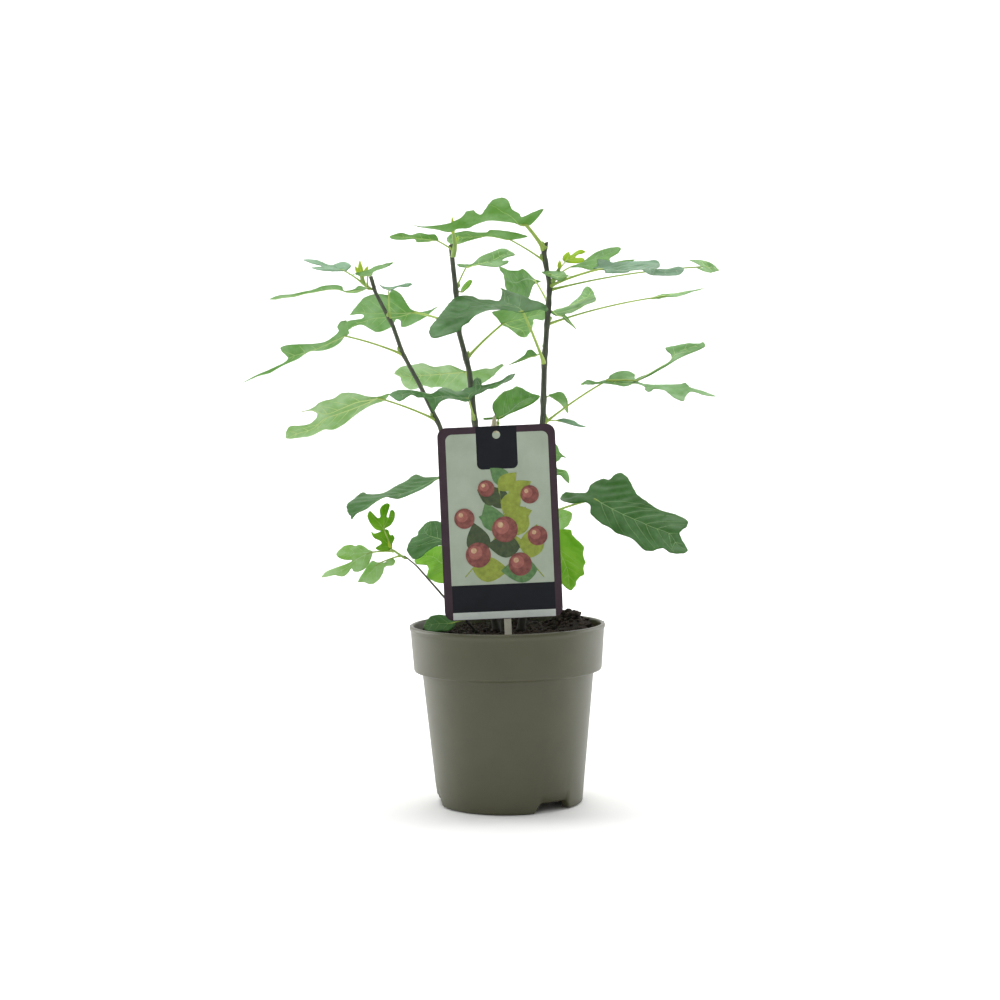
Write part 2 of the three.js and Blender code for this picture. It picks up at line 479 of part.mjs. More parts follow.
/** Solids that run into each other, as one. */
function fuse(solids) {
  return solids.reduce((whole, next) => whole.add(next));
}

const model = new THREE.Group();

function addNode(name, solid, material) {
  const mesh = new THREE.Mesh(toGeometry(solid), material);
  mesh.name = name;
  model.add(mesh);
}

// ---------------------------------------------------------------- pot and soil

/** A turned solid about Z from [radius, height] pairs that start and end on the axis. */
function turned(profile) {
  const points = profile.map(([r, z]) => new THREE.Vector2(r, z));
  return new THREE.LatheGeometry(points, POT.facets).rotateX(Math.PI / 2);
}

function makePot() {
  const wallEnd = POT.height - POT.bandHeight;
  const footInside = POT.wallFoot - POT.footRing - POT.footBevel;
  const mouth = POT.rim - POT.wall - POT.lip;
  const shell = toSolid(turned([
    [0, POT.floor],
    [footInside - POT.footDraft, POT.floor],
    [footInside, 0],
    [POT.wallFoot - POT.footBevel, 0],
    [POT.wallFoot, POT.footBevel],
    [POT.wallTop, wallEnd - POT.shoulder],
    [POT.bandFoot, wallEnd],
    [POT.rim - POT.bead, POT.height - POT.beadDrop - POT.bead],
    [POT.rim, POT.height - POT.beadDrop],
    [POT.rim, POT.height - POT.bead],
    [POT.rim - POT.bead, POT.height],
    [mouth + POT.bead, POT.height],
    [mouth, POT.height - POT.footBevel],
    [POT.bandFoot - POT.wall - POT.lip, wallEnd + POT.floorThick],
    [POT.wallTop - POT.wall, wallEnd - POT.shoulder],
    [POT.wallFoot - POT.wall, POT.floor + POT.floorThick],
    [0, POT.floor + POT.floorThick],
  ]));
  const notches = NOTCH.bearings.map((bearing) => {
    const block = new THREE.BoxGeometry(NOTCH.depth, NOTCH.width, NOTCH.height * 2);
    block.translate(POT.wallFoot, 0, 0);
    return toSolid(block.rotateZ(radians(bearing)));
  });
  return notches.reduce((pot, notch) => pot.subtract(notch), shell);
}

/** The soil's top is flat round the stems and rises into heaps near the rim. */
function soilRise(x, y) {
  const out = Math.min(Math.max((Math.hypot(x, y) - SOIL.flatReach) / SOIL.slope, 0), 1);
  const heaps = SOIL.heaps.map((heap) => {
    const away = Math.hypot(x - heap.x, y - heap.y) / heap.spread;
    return heap.rise * Math.exp(-away * away);
  });
  return out * Math.max(...heaps);
}

function makeSoil() {
  const wallEnd = POT.height - POT.bandHeight;
  const inset = POT.wall + SOIL.clear;
  const foot = POT.floor + POT.floorThick + GAP;
  const edge = POT.rim - POT.lip - inset - SOIL.edgeInset;
  const soil = turned([
    [0, foot],
    [POT.wallFoot - inset, foot],
    [POT.wallTop - inset, wallEnd - POT.shoulder],
    [POT.bandFoot - inset - POT.lip, wallEnd + POT.floorThick + SOIL.clear],
    [edge, SOIL_LEVEL - SOIL.edgeDrop],
    ...SOIL.rings.map((reach) => [reach, SOIL_LEVEL]),
    [0, SOIL_LEVEL],
  ]);
  const spots = soil.attributes.position;
  for (let i = 0; i < spots.count; i += 1) {
    if (spots.getZ(i) > SOIL_LEVEL - SOIL.edgeDrop / 2) {
      spots.setZ(i, spots.getZ(i) + soilRise(spots.getX(i), spots.getY(i)));
    }
  }
  return toSolid(soil);
}

// ---------------------------------------------------------------- stems

/** The centre of a stem or twig at a height, on straight runs between its points. */
function centreAt(way, height) {
  const next = Math.max(1, way.findIndex(([z]) => z >= height));
  const [z0, x0, y0] = way[next - 1];
  const [z1, x1, y1] = way[next];
  const t = Math.min(Math.max((height - z0) / (z1 - z0), 0), 1);
  return new THREE.Vector3(x0 + (x1 - x0) * t, y0 + (y1 - y0) * t, z0 + (z1 - z0) * t);
}

function radiusAt(stem, height, nodeHeights) {
  const low = stem.way[0][0];
  const high = stem.way.at(-1)[0];
  const t = (height - low) / (high - low);
  const flare = low === CUT_LEVEL ? FLARE.swell * Math.exp(-(height - low) / FLARE.reach) : 0;
  const bumps = nodeHeights.map((z) => Math.exp(-(((height - z) / NODE_SWELL.reach) ** 2)));
  const swell = NODE_SWELL.swell * Math.max(0, ...bumps);
  return (stem.foot + (stem.tip - stem.foot) * t) * (1 + flare + swell);
}

/** A tapering limb of level cross-sections, swollen where leaves stand on it. */
function makeLimb(stem, nodeHeights = []) {
  const corners = stem.way.map(([z]) => z);
  const levels = corners.flatMap((z, i) => {
    if (i === 0) return [z];
    const runs = Math.ceil((z - corners[i - 1]) / STEM_STEP);
    return Array.from({ length: runs }, (_, k) => corners[i - 1] + ((z - corners[i - 1]) * (k + 1)) / runs);
  });
  const limb = new THREE.CylinderGeometry(1, 1, 1, STEM_SIDES, levels.length - 1);
  const spots = limb.attributes.position;
  for (let i = 0; i < spots.count; i += 1) {
    const height = levels[Math.round((spots.getY(i) + 0.5) * (levels.length - 1))];
    const centre = centreAt(stem.way, height);
    const radius = radiusAt(stem, height, nodeHeights);
    spots.setXYZ(i, centre.x + spots.getX(i) * radius, centre.y + spots.getZ(i) * radius, height);
  }
  return toSolid(limb);
}

/** A bud: a slim drop that stands up from a twig's tip. */
function makeBud(foot) {
  const bud = new THREE.SphereGeometry(1, BUD.sides, BUD.rings).rotateX(Math.PI / 2);
  bud.scale(BUD.radius, BUD.radius * BUD.flatter, BUD.length / 2);
  bud.translate(foot.x, foot.y, foot.z + BUD.length / 2 - BUD.sunk);
  return toSolid(bud);
}

// ---------------------------------------------------------------- leaves

/** An outline once round, as [angle, reach, lift]. */
function wholeOutline(name) {
  const lobes = OUTLINES[name];
  if (lobes[0][0] !== 0) return lobes;
  const mirrored = lobes.slice(1, -1).map(([angle, ...rest]) => [-angle, ...rest]).reverse();
  return [...mirrored, ...lobes];
}

/** The blade's edge: a smooth closed curve through its tips and hollows, in shares of its length. */
function bladeEdge({ outline, blade, width = [1, 1] }) {
  const knots = wholeOutline(outline).map(([angle, reach, lift = 0]) => {
    const side = Math.sin(radians(angle)) * width[angle > 0 ? 0 : 1];
    return new THREE.Vector3(reach * Math.cos(radians(angle)), reach * side, lift);
  });
  const curve = new THREE.CatmullRomCurve3(knots, true);
  return knots.flatMap((knot, i) => {
    const span = knot.distanceTo(knots[(i + 1) % knots.length]) * blade[0];
    const parts = Math.max(1, Math.round(span / BLADE.step));
    return Array.from({ length: parts }, (_, k) => curve.getPoint((i + k / parts) / knots.length));
  });
}

/** A point of a bent blade from its flat place in shares of its length, and `off` mm off its middle. */
function bentPoint({ blade, curl = 0, fold = 0, wave = 0 }, flat, off) {
  const length = blade[0];
  const along = flat.x * length;
  const side = flat.y * length;
  const bend = (radians(curl) || 1e-6) / length;
  const reach = Math.hypot(flat.x, flat.y);
  const turn = BLADE.ripples * Math.atan2(flat.y, flat.x);
  const ripple = wave * length * reach * reach * Math.sin(turn + length);
  const drop = (1 - Math.cos(bend * along)) / bend;
  const folded = Math.abs(side) * Math.sin(radians(fold));
  const height = flat.z * length + folded - drop + ripple + off;
  return new THREE.Vector3(Math.sin(bend * along) / bend, side * Math.cos(radians(fold)), height);
}

/** Turns a shape from a blade's own axes to its heading and rise, and sets it at the joint. */
function hang(geometry, leaf, joint) {
  const [, heading, rise] = leaf.blade;
  geometry.rotateX(radians(leaf.roll)).rotateY(-radians(rise)).rotateZ(radians(heading));
  return geometry.translate(joint.x, joint.y, joint.z);
}

/** The blade: a thin plate cut to the leaf's edge and bent, and the swelling where its veins meet. */
function makeBlade(leaf, joint) {
  const edge = bladeEdge(leaf);
  const shape = new THREE.Shape(edge.map(({ x, y }) => new THREE.Vector2(x, y)));
  const plate = new THREE.ExtrudeGeometry(shape, { depth: 1, steps: 1, bevelEnabled: false });
  const spots = plate.attributes.position;
  const away = (point, i) => Math.hypot(point.x - spots.getX(i), point.y - spots.getY(i));
  for (let i = 0; i < spots.count; i += 1) {
    const nearest = edge.reduce((best, point) => (away(point, i) < away(best, i) ? point : best));
    const spot = bentPoint(leaf, nearest, (spots.getZ(i) - 0.5) * BLADE.thick);
    spots.setXYZ(i, spot.x, spot.y, spot.z);
  }
  const hub = leaf.blade[0] * BLADE.hub;
  const swelling = new THREE.OctahedronGeometry(1).scale(hub, hub, leaf.blade[0] * BLADE.hubHigh);
  return fuse([toSolid(hang(plate, leaf, joint)), toSolid(hang(swelling, leaf, joint))]);
}

/** The stalk: a thin tapering tube from the stem's bark, sunk into the blade. */
function makeStalk(leaf, foot, joint) {
  const [, heading, rise] = leaf.blade;
  const middle = foot.clone().lerp(joint, 0.5);
  middle.z += foot.distanceTo(joint) * STALK.rise;
  const end = joint.clone().addScaledVector(direction(heading, rise), STALK.sunk);
  const curve = new THREE.CatmullRomCurve3([foot, middle, joint, end]);
  const frames = curve.computeFrenetFrames(STALK.steps, false);
  const tube = new THREE.CylinderGeometry(1, 1, 1, STALK.sides, STALK.steps);
  const spots = tube.attributes.position;
  for (let i = 0; i < spots.count; i += 1) {
    const t = spots.getY(i) + 0.5;
    const step = Math.round(t * STALK.steps);
    const radius = STALK.foot + (STALK.tip - STALK.foot) * t;
    const spot = curve.getPointAt(t);
    spot.addScaledVector(frames.normals[step], spots.getX(i) * radius);
    spot.addScaledVector(frames.binormals[step], spots.getZ(i) * radius);
    spots.setXYZ(i, spot.x, spot.y, spot.z);
  }
  return toSolid(tube);
}

/** A leaf's stalk and blade, with its stalk's foot clear of the bark or sunk in a twig. */
function makeLeaf(leaf, limb, nodeHeights, sunk) {
  const [length, bearing, rise] = leaf.stalk;
  const centre = centreAt(limb.way, leaf.at);
  const away = direction(bearing, rise);
  const joint = centre.clone().addScaledVector(away, length);
  const level = Math.cos(radians(rise));
  const clear = sunk ? 0 : radiusAt(limb, leaf.at, nodeHeights) / level + GAP + STALK.foot * STALK.slant;
  const foot = centre.clone().addScaledVector(away, clear);
  const solids = [makeStalk(leaf, foot, joint), makeBlade(leaf, joint)];
  if (leaf.also) {
    const [reach, turn, climb] = leaf.also.stalk;
    const lobeJoint = joint.clone().addScaledVector(direction(turn, climb), reach);
    solids.push(makeStalk(leaf.also, joint, lobeJoint), makeBlade(leaf.also, lobeJoint));
  }
  return fuse(solids);
}

// ---------------------------------------------------------------- card

/** The card: a thin plate with round corners and a hanging hole, its middle foot at the origin. */
function cardPlate() {
  const half = CARD.width / 2 - CARD.corner;
  const low = CARD.corner;
  const high = CARD.height - CARD.corner;
  const outline = new THREE.Shape();
  outline.absarc(half, low, CARD.corner, -Math.PI / 2, 0);
  outline.absarc(half, high, CARD.corner, 0, Math.PI / 2);
  outline.absarc(-half, high, CARD.corner, Math.PI / 2, Math.PI);
  outline.absarc(-half, low, CARD.corner, Math.PI, Math.PI * 1.5);
  const hole = new THREE.Path();
  hole.absarc(0, CARD.height - CARD.holeDrop, CARD.hole, 0, Math.PI * 2, true);
  outline.holes.push(hole);
  return new THREE.ExtrudeGeometry(outline, { depth: CARD.thick, bevelEnabled: false, curveSegments: 6 });
}

/** Stands a piece that is drawn in X and Y upright on the card's foot, leaning back. */
function standOnCardFoot(geometry) {
  geometry.rotateX(Math.PI / 2 - radians(CARD_LEAN));
  geometry.rotateY(radians(CARD_TURN));
  return geometry.translate(CARD_FOOT.x, CARD_FOOT.y, CARD_FOOT.z);
}

function makeCard() {
  return toSolid(standOnCardFoot(cardPlate()));
}

/** The stick runs up the card's back from the soil. */
function makeStick() {
  const below = (CARD_FOOT.z - CUT_LEVEL) / Math.cos(radians(CARD_LEAN)) - GAP;
  const stick = new THREE.BoxGeometry(STICK.width, STICK.reach + below, STICK.thick);
  stick.translate(0, (STICK.reach - below) / 2, -STICK.thick / 2 - GAP);
  return toSolid(standOnCardFoot(stick));
}

// ---------------------------------------------------------------- assembly

addNode("pot", makePot(), potPlastic);
addNode("soil", makeSoil(), potSoil);
addNode("label_card", makeCard(), cardStock);
addNode("label_stick", makeStick(), stickPlastic);

const leaves = [...LEAVES, ...lowBackLeaves()];
const heightsOn = (name) => leaves.filter((leaf) => leaf.on === name).map((leaf) => leaf.at);

for (const [name, stem] of Object.entries(STEMS)) {
  addNode(`stem_${name}`, makeLimb(stem, heightsOn(name)), bark);
}

for (const leaf of leaves.filter(({ on }) => STEMS[on])) {
  addNode(leaf.node, makeLeaf(leaf, STEMS[leaf.on], heightsOn(leaf.on), false), leafGreen);
}

for (const [name, twig] of Object.entries(TWIGS)) {
  const borne = leaves.filter(({ on }) => on === `${name}_twig`);
  const solids = borne.map((leaf) => makeLeaf(leaf, twig, [], true));
  const tip = centreAt(twig.way, twig.way.at(-1)[0]);
  addNode(`${name}_tip_leaves`, fuse([makeLimb(twig), makeBud(tip), ...solids]), youngGreen);
}

// The origin is under the middle of the whole.
const middle = new THREE.Box3().setFromObject(model).getCenter(new THREE.Vector3());
for (const { geometry } of model.children) {
  geometry.translate(-middle.x, -middle.y, 0);
}

export default model;
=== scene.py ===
"""A young fig tree in a nursery pot, with a plain picture card on a stick.

Lengths in this file are millimetres unless a name ends in _m. Heights start at the pot's
underside, and x and y start at the pot's own axis, as in the part's source.
"""

import logging
import math
import random
from dataclasses import dataclass, field
from enum import Enum
from functools import partial
from typing import Callable, Iterable, Optional, Sequence

import bmesh
import bpy
from mathutils import Matrix, Vector, kdtree, noise


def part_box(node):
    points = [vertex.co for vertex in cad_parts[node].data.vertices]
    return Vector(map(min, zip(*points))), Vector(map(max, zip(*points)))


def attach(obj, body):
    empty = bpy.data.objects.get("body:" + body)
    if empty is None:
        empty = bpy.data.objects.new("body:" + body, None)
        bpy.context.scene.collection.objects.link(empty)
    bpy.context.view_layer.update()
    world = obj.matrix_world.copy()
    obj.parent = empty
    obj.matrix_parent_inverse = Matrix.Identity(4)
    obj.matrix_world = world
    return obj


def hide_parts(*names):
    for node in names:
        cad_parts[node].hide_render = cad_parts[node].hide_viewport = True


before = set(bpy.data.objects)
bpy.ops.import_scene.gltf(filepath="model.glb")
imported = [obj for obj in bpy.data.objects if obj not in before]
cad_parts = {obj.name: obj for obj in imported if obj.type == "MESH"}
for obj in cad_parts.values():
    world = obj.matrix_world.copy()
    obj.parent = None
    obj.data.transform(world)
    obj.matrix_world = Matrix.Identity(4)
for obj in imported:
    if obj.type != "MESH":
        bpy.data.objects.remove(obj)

log = logging.getLogger("fig_tree")

MM = 0.001
BODY = "root"
# Vertices closer than this are one.
WELD = 1e-4
Place = Callable[[int, int], Vector]


# ---------------------------------------------------------------- finishes


def linear(hex_colour: str) -> tuple[float, float, float, float]:
    """Turns an sRGB hex colour into linear values.

    Args:
        hex_colour: Six hex digits, such as "4f8a45".

    Returns:
        Linear red, green, blue and an alpha of 1.
    """
    values = [int(hex_colour[i : i + 2], 16) / 255 for i in (0, 2, 4)]
    red, green, blue = (
        v / 12.92 if v <= 0.04045 else ((v + 0.055) / 1.055) ** 2.4 for v in values
    )
    return red, green, blue, 1.0


@dataclass(frozen=True)
class Finish:
    """How a real material looks.

    Attributes:
        material: The real material's name.
        tone: Its main sRGB colour.
        patch: The sRGB colour of its patches.
        patch_mm: How wide a patch is.
        roughness: Of the surface.
        grain_mm: How wide a grain of its relief is.
        relief_mm: How deep the relief is.
        stretch: How much longer than wide patches and grains are, along Z.
        lets_through: The share of light that passes through it.
        glow: The sRGB colour of that light.
        specular: Strength of the plain reflection.
    """

    material: str
    tone: str
    patch: str
    patch_mm: float
    roughness: float
    grain_mm: float
    relief_mm: float
    stretch: float = 1.0
    lets_through: float = 0.0
    glow: str = "ffffff"
    specular: float = 0.5


def leaf_side(material: str, tone: str, patch: str, glow: str, roughness: float = 0.46) -> Finish:
    """Describes one side of a leaf.

    Args:
        material: The finish's name.
        tone: Its main sRGB colour.
        patch: The sRGB colour of its patches, a painted sheen.
        glow: The sRGB colour of the light that passes through.
        roughness: Of the surface.

    Returns:
        The finish.
    """
    return Finish(
        material, tone, patch, patch_mm=15.0, roughness=roughness, grain_mm=0.9, relief_mm=0.018,
        lets_through=0.3, glow=glow, specular=0.3,
    )


def vein(material: str, tone: str) -> Finish:
    """Describes a leaf's veins.

    Args:
        material: The finish's name.
        tone: Its sRGB colour, which its patches share.

    Returns:
        The finish.
    """
    return Finish(material, tone, tone, 5.0, 0.5, 0.7, 0.01, lets_through=0.2, glow="cfe88a")


class Surface(Enum):
    """Every finish on the object, named for the real material, save those that carry painted shade
    or painted sheen.
    """

    # Polypropylene pot, moulded with a fine matt texture.
    POT = Finish("moulded_pot_plastic", "39391b", "3e3e20", 22, 0.42, 0.5, 0.015, specular=0.7)
    # Moist peat and bark fines.
    SOIL = Finish("potting_mix", "17130f", "2b221b", 3.2, 0.95, 1.1, 0.5, specular=0.3)
    CRUMB = Finish("bark_crumbs", "241c16", "3d3128", 2.6, 0.95, 0.8, 0.3, specular=0.3)
    # Woody stems: dark grey-brown bark, stretched along the stem, and paler lenticels.
    BARK = Finish("fig_bark", "343a2e", "505743", 2.4, 0.66, 0.7, 0.12, stretch=4.0)
    BARK_SPOT = Finish("fig_lenticel", "626350", "75745f", 1.0, 0.8, 0.4, 0.05)
    # Near-black bark at each stem's foot: painted shade where the stems stand in shadow just above
    # the mix.
    SHADED_BARK = Finish("painted_shade_fig_bark", "1b1913", "26231b", 2.4, 0.8, 0.7, 0.12, stretch=4.0)
    SHOOT_BARK = Finish("shoot_bark", "3c382c", "54523c", 2.4, 0.6, 0.7, 0.08, stretch=4.0)
    GREEN_BARK = Finish("green_fig_twig", "7f9f48", "9cba66", 3.0, 0.55, 0.6, 0.05, stretch=3.0)
    CUT_WOOD = Finish("cut_fig_wood", "aaa48a", "c0baa2", 1.2, 0.85, 0.4, 0.05)
    # Stalks are yellow-green and a little glossy.
    STALK = Finish("fig_stalk", "aec662", "98b650", 4.0, 0.45, 0.7, 0.02, 3.0, 0.15, glow="c8dc70")
    BUD = Finish("fig_bud", "a9c52c", "c3d94a", 2.0, 0.45, 0.6, 0.03, 1.0, 0.25, glow="d8ec60")
    # Leaves: saturated where light comes through; their paler, bluer patches are painted sheen,
    # where light glances off.
    MID = leaf_side("fig_leaf_top", "528530", "86ad74", "8cc63a")
    MID_UNDER = leaf_side("fig_leaf_under", "6b9b49", "98c083", "9ed055", 0.6)
    MID_VEIN = vein("fig_vein", "bee27c")
    SOFT = leaf_side("fig_leaf_soft", "6b9a57", "9cc08f", "8cc63a")
    SOFT_UNDER = leaf_side("fig_leaf_soft_under", "78a95f", "a9cb9b", "9ed055", 0.6)
    SOFT_VEIN = vein("fig_vein_soft", "c4e292")
    PALE_UNDER = leaf_side("fig_leaf_pale_under", "98c27a", "cde7bd", "b4dc82", 0.6)
    PALE_VEIN = vein("fig_vein_pale", "dcf0a4")
    # BLUE and SLATE are bluer, greyer copies of the leaf colours: painted sheen on upper sides that
    # catch the light.
    BLUE = leaf_side("fig_leaf_blue", "5e8a64", "93b69b", "86bd52", 0.42)
    BLUE_UNDER = leaf_side("fig_leaf_blue_under", "7ba67b", "a6c6a6", "86bd52", 0.6)
    BLUE_VEIN = vein("fig_vein_blue", "9dbf98")
    SLATE = leaf_side("fig_leaf_slate", "4a7050", "7c9f84", "86bd52", 0.42)
    VIVID = leaf_side("fig_leaf_vivid", "3a700f", "659640", "86c630")
    # DEEP and DARK are darker copies of the leaf colours: painted shade for leaves that hang in
    # shade.
    DEEP = leaf_side("fig_leaf_deep", "3f6c32", "6a9462", "6fae38", 0.42)
    DEEP_UNDER = leaf_side("fig_leaf_deep_under", "5c8c4e", "8ab27e", "8cc63a", 0.6)
    DEEP_VEIN = vein("fig_vein_deep", "82ab6c")
    DARK = leaf_side("fig_leaf_dark", "2f6018", "5a8450", "5f9c28", 0.44)
    DARK_UNDER = leaf_side("fig_leaf_dark_under", "4c7e3c", "76a268", "7cb438", 0.6)
    DARK_VEIN = vein("fig_vein_dark", "88b268")
    FRESH = leaf_side("fig_leaf_fresh", "609e06", "8abc3c", "a0dc20")
    FRESH_UNDER = leaf_side("fig_leaf_fresh_under", "6ea02c", "98c464", "b6e02c", 0.6)
    FRESH_VEIN = vein("fig_vein_fresh", "a4cc58")
    LIGHT = leaf_side("fig_leaf_light", "8aba54", "bedea6", "a6dc4c", 0.5)
    LIGHT_VEIN = vein("fig_vein_light", "c2dea0")
    YOUNG = leaf_side("fig_leaf_young", "86b000", "a6ca20", "e4f43c")
    YOUNG_VEIN = vein("fig_vein_young", "c8e04c")
    # The card is printed plastic sheet, and its stick is moulded.
    CARD_EDGE = Finish("printed_purple", "382931", "3f2f39", 14, 0.4, 0.4, 0.01, specular=0.25)
    CARD_BACK = Finish("card_sheet_back", "d5d8cf", "dee0d8", 14, 0.5, 0.4, 0.01)
    CARD_PANEL = Finish("printed_sage", "9fab98", "a8b4a2", 16, 0.4, 0.4, 0.01)
    CARD_NAVY = Finish("printed_navy", "0b0f17", "10141d", 14, 0.36, 0.4, 0.01, specular=0.25)
    CARD_STRIP = Finish("printed_white", "c9d2cb", "d2dad3", 10, 0.4, 0.4, 0.01)
    PRINT_OLIVE = Finish("printed_olive", "7b8a2c", "93a23c", 3.0, 0.4, 0.4, 0.01)
    PRINT_GREEN = Finish("printed_green", "47703f", "638a52", 3.0, 0.4, 0.4, 0.01)
    PRINT_DARK = Finish("printed_dark_green", "2f3f22", "435230", 3.0, 0.4, 0.4, 0.01)
    PRINT_PLUM = Finish("printed_plum", "6a3430", "8b5046", 3.0, 0.4, 0.4, 0.01)
    PRINT_ROSE = Finish("printed_rose", "8f5048", "a5655a", 3.0, 0.4, 0.4, 0.01)
    PRINT_CREAM = Finish("printed_cream", "c9b68a", "b98e72", 2.0, 0.4, 0.4, 0.01)
    STICK = Finish("moulded_stick", "cdcab8", "d8d6c6", 8.0, 0.5, 0.5, 0.02)
    # The studio.
    FLOOR = Finish("studio_floor", "f4f4f3", "f7f7f6", 400, 0.9, 5.0, 0.0)


class Workshop:
    """Builds each finish once as a Blender material, and knows where the pot stands."""

    def __init__(self, offset: Vector) -> None:
        """Starts with no materials.

        Args:
            offset: From the pot's axis to the row's origin, in millimetres.
        """
        self.offset = offset
        self._made: dict[Surface, bpy.types.Material] = {}

    def material(self, surface: Surface) -> bpy.types.Material:
        """Gives the material of a surface.

        Args:
            surface: The surface to paint.

        Returns:
            Its material, made on the first call.
        """
        if surface not in self._made:
            self._made[surface] = self._build(surface.value)
        return self._made[surface]

    @staticmethod
    def _node(tree: bpy.types.NodeTree, kind: str, **values: object) -> bpy.types.Node:
        """Adds a node and sets its inputs, or links them where a value is a socket.

        Args:
            tree: The tree that gets the node.
            kind: The node's type, without "ShaderNode".
            values: Input names, with "_" for a space, or "i_" and an index, and their values
                or source sockets.

        Returns:
            The new node.
        """
        node = tree.nodes.new(f"ShaderNode{kind}")
        for name, value in values.items():
            key = int(name[2:]) if name.startswith("i_") else name.replace("_", " ")
            socket = node.inputs[key]
            if isinstance(value, bpy.types.NodeSocket):
                tree.links.new(value, socket)
            else:
                socket.default_value = value
        return node

    def _build(self, finish: Finish) -> bpy.types.Material:
        """Makes a procedural material.

        Args:
            finish: The look to make.

        Returns:
            The new material.
        """
        made = bpy.data.materials.new(finish.material)
        made.use_nodes = True
        tree = made.node_tree
        tree.nodes.clear()
        add = partial(self._node, tree)
        where = add("TexCoord").outputs["Object"]
        laid = add("Mapping", Vector=where, Scale=(1.0, 1.0, 1.0 / finish.stretch)).outputs[0]
        scale = 1 / (finish.patch_mm * MM)
        patches = add("TexNoise", Vector=laid, Scale=scale, Detail=4.0, Roughness=0.6).outputs[0]
        share = add("MapRange", Value=patches, From_Min=0.35, From_Max=0.65).outputs[0]
        colour = add("Mix", i_0=share, i_6=linear(finish.tone), i_7=linear(finish.patch))
        colour.data_type = "RGBA"
        scale = 1 / (finish.grain_mm * MM)
        grains = add("TexNoise", Vector=laid, Scale=scale, Detail=3.0).outputs[0]
        relief = finish.relief_mm * MM
        bump = add("Bump", Height=grains, Distance=relief, Strength=1.0).outputs[0]
        shader = add(
            "BsdfPrincipled", Base_Color=colour.outputs[2], Roughness=finish.roughness, Normal=bump,
            Specular_IOR_Level=finish.specular,
        ).outputs[0]
        if finish.lets_through:
            through = add("BsdfTranslucent", Color=linear(finish.glow), Normal=bump).outputs[0]
            shader = add("MixShader", i_0=finish.lets_through, i_1=shader, i_2=through).outputs[0]
        add("OutputMaterial", Surface=shader)
        return made


# ---------------------------------------------------------------- modelling


def faces_of(verts: Iterable[bmesh.types.BMVert]) -> list[bmesh.types.BMFace]:
    """Lists the faces round some vertices.

    Args:
        verts: The vertices.

    Returns:
        Each face once, in the order met.
    """
    return list(dict.fromkeys(face for vert in verts for face in vert.link_faces))


def tumble(rng: random.Random, lean: float) -> Matrix:
    """Draws a turn with any bearing and a small lean.

    Args:
        rng: The seeded generator.
        lean: The most that it leans, in radians.

    Returns:
        The turn.
    """
    spin = Matrix.Rotation(rng.uniform(0, math.pi), 3, "Z")
    return spin @ Matrix.Rotation(rng.uniform(-lean, lean), 3, "X")


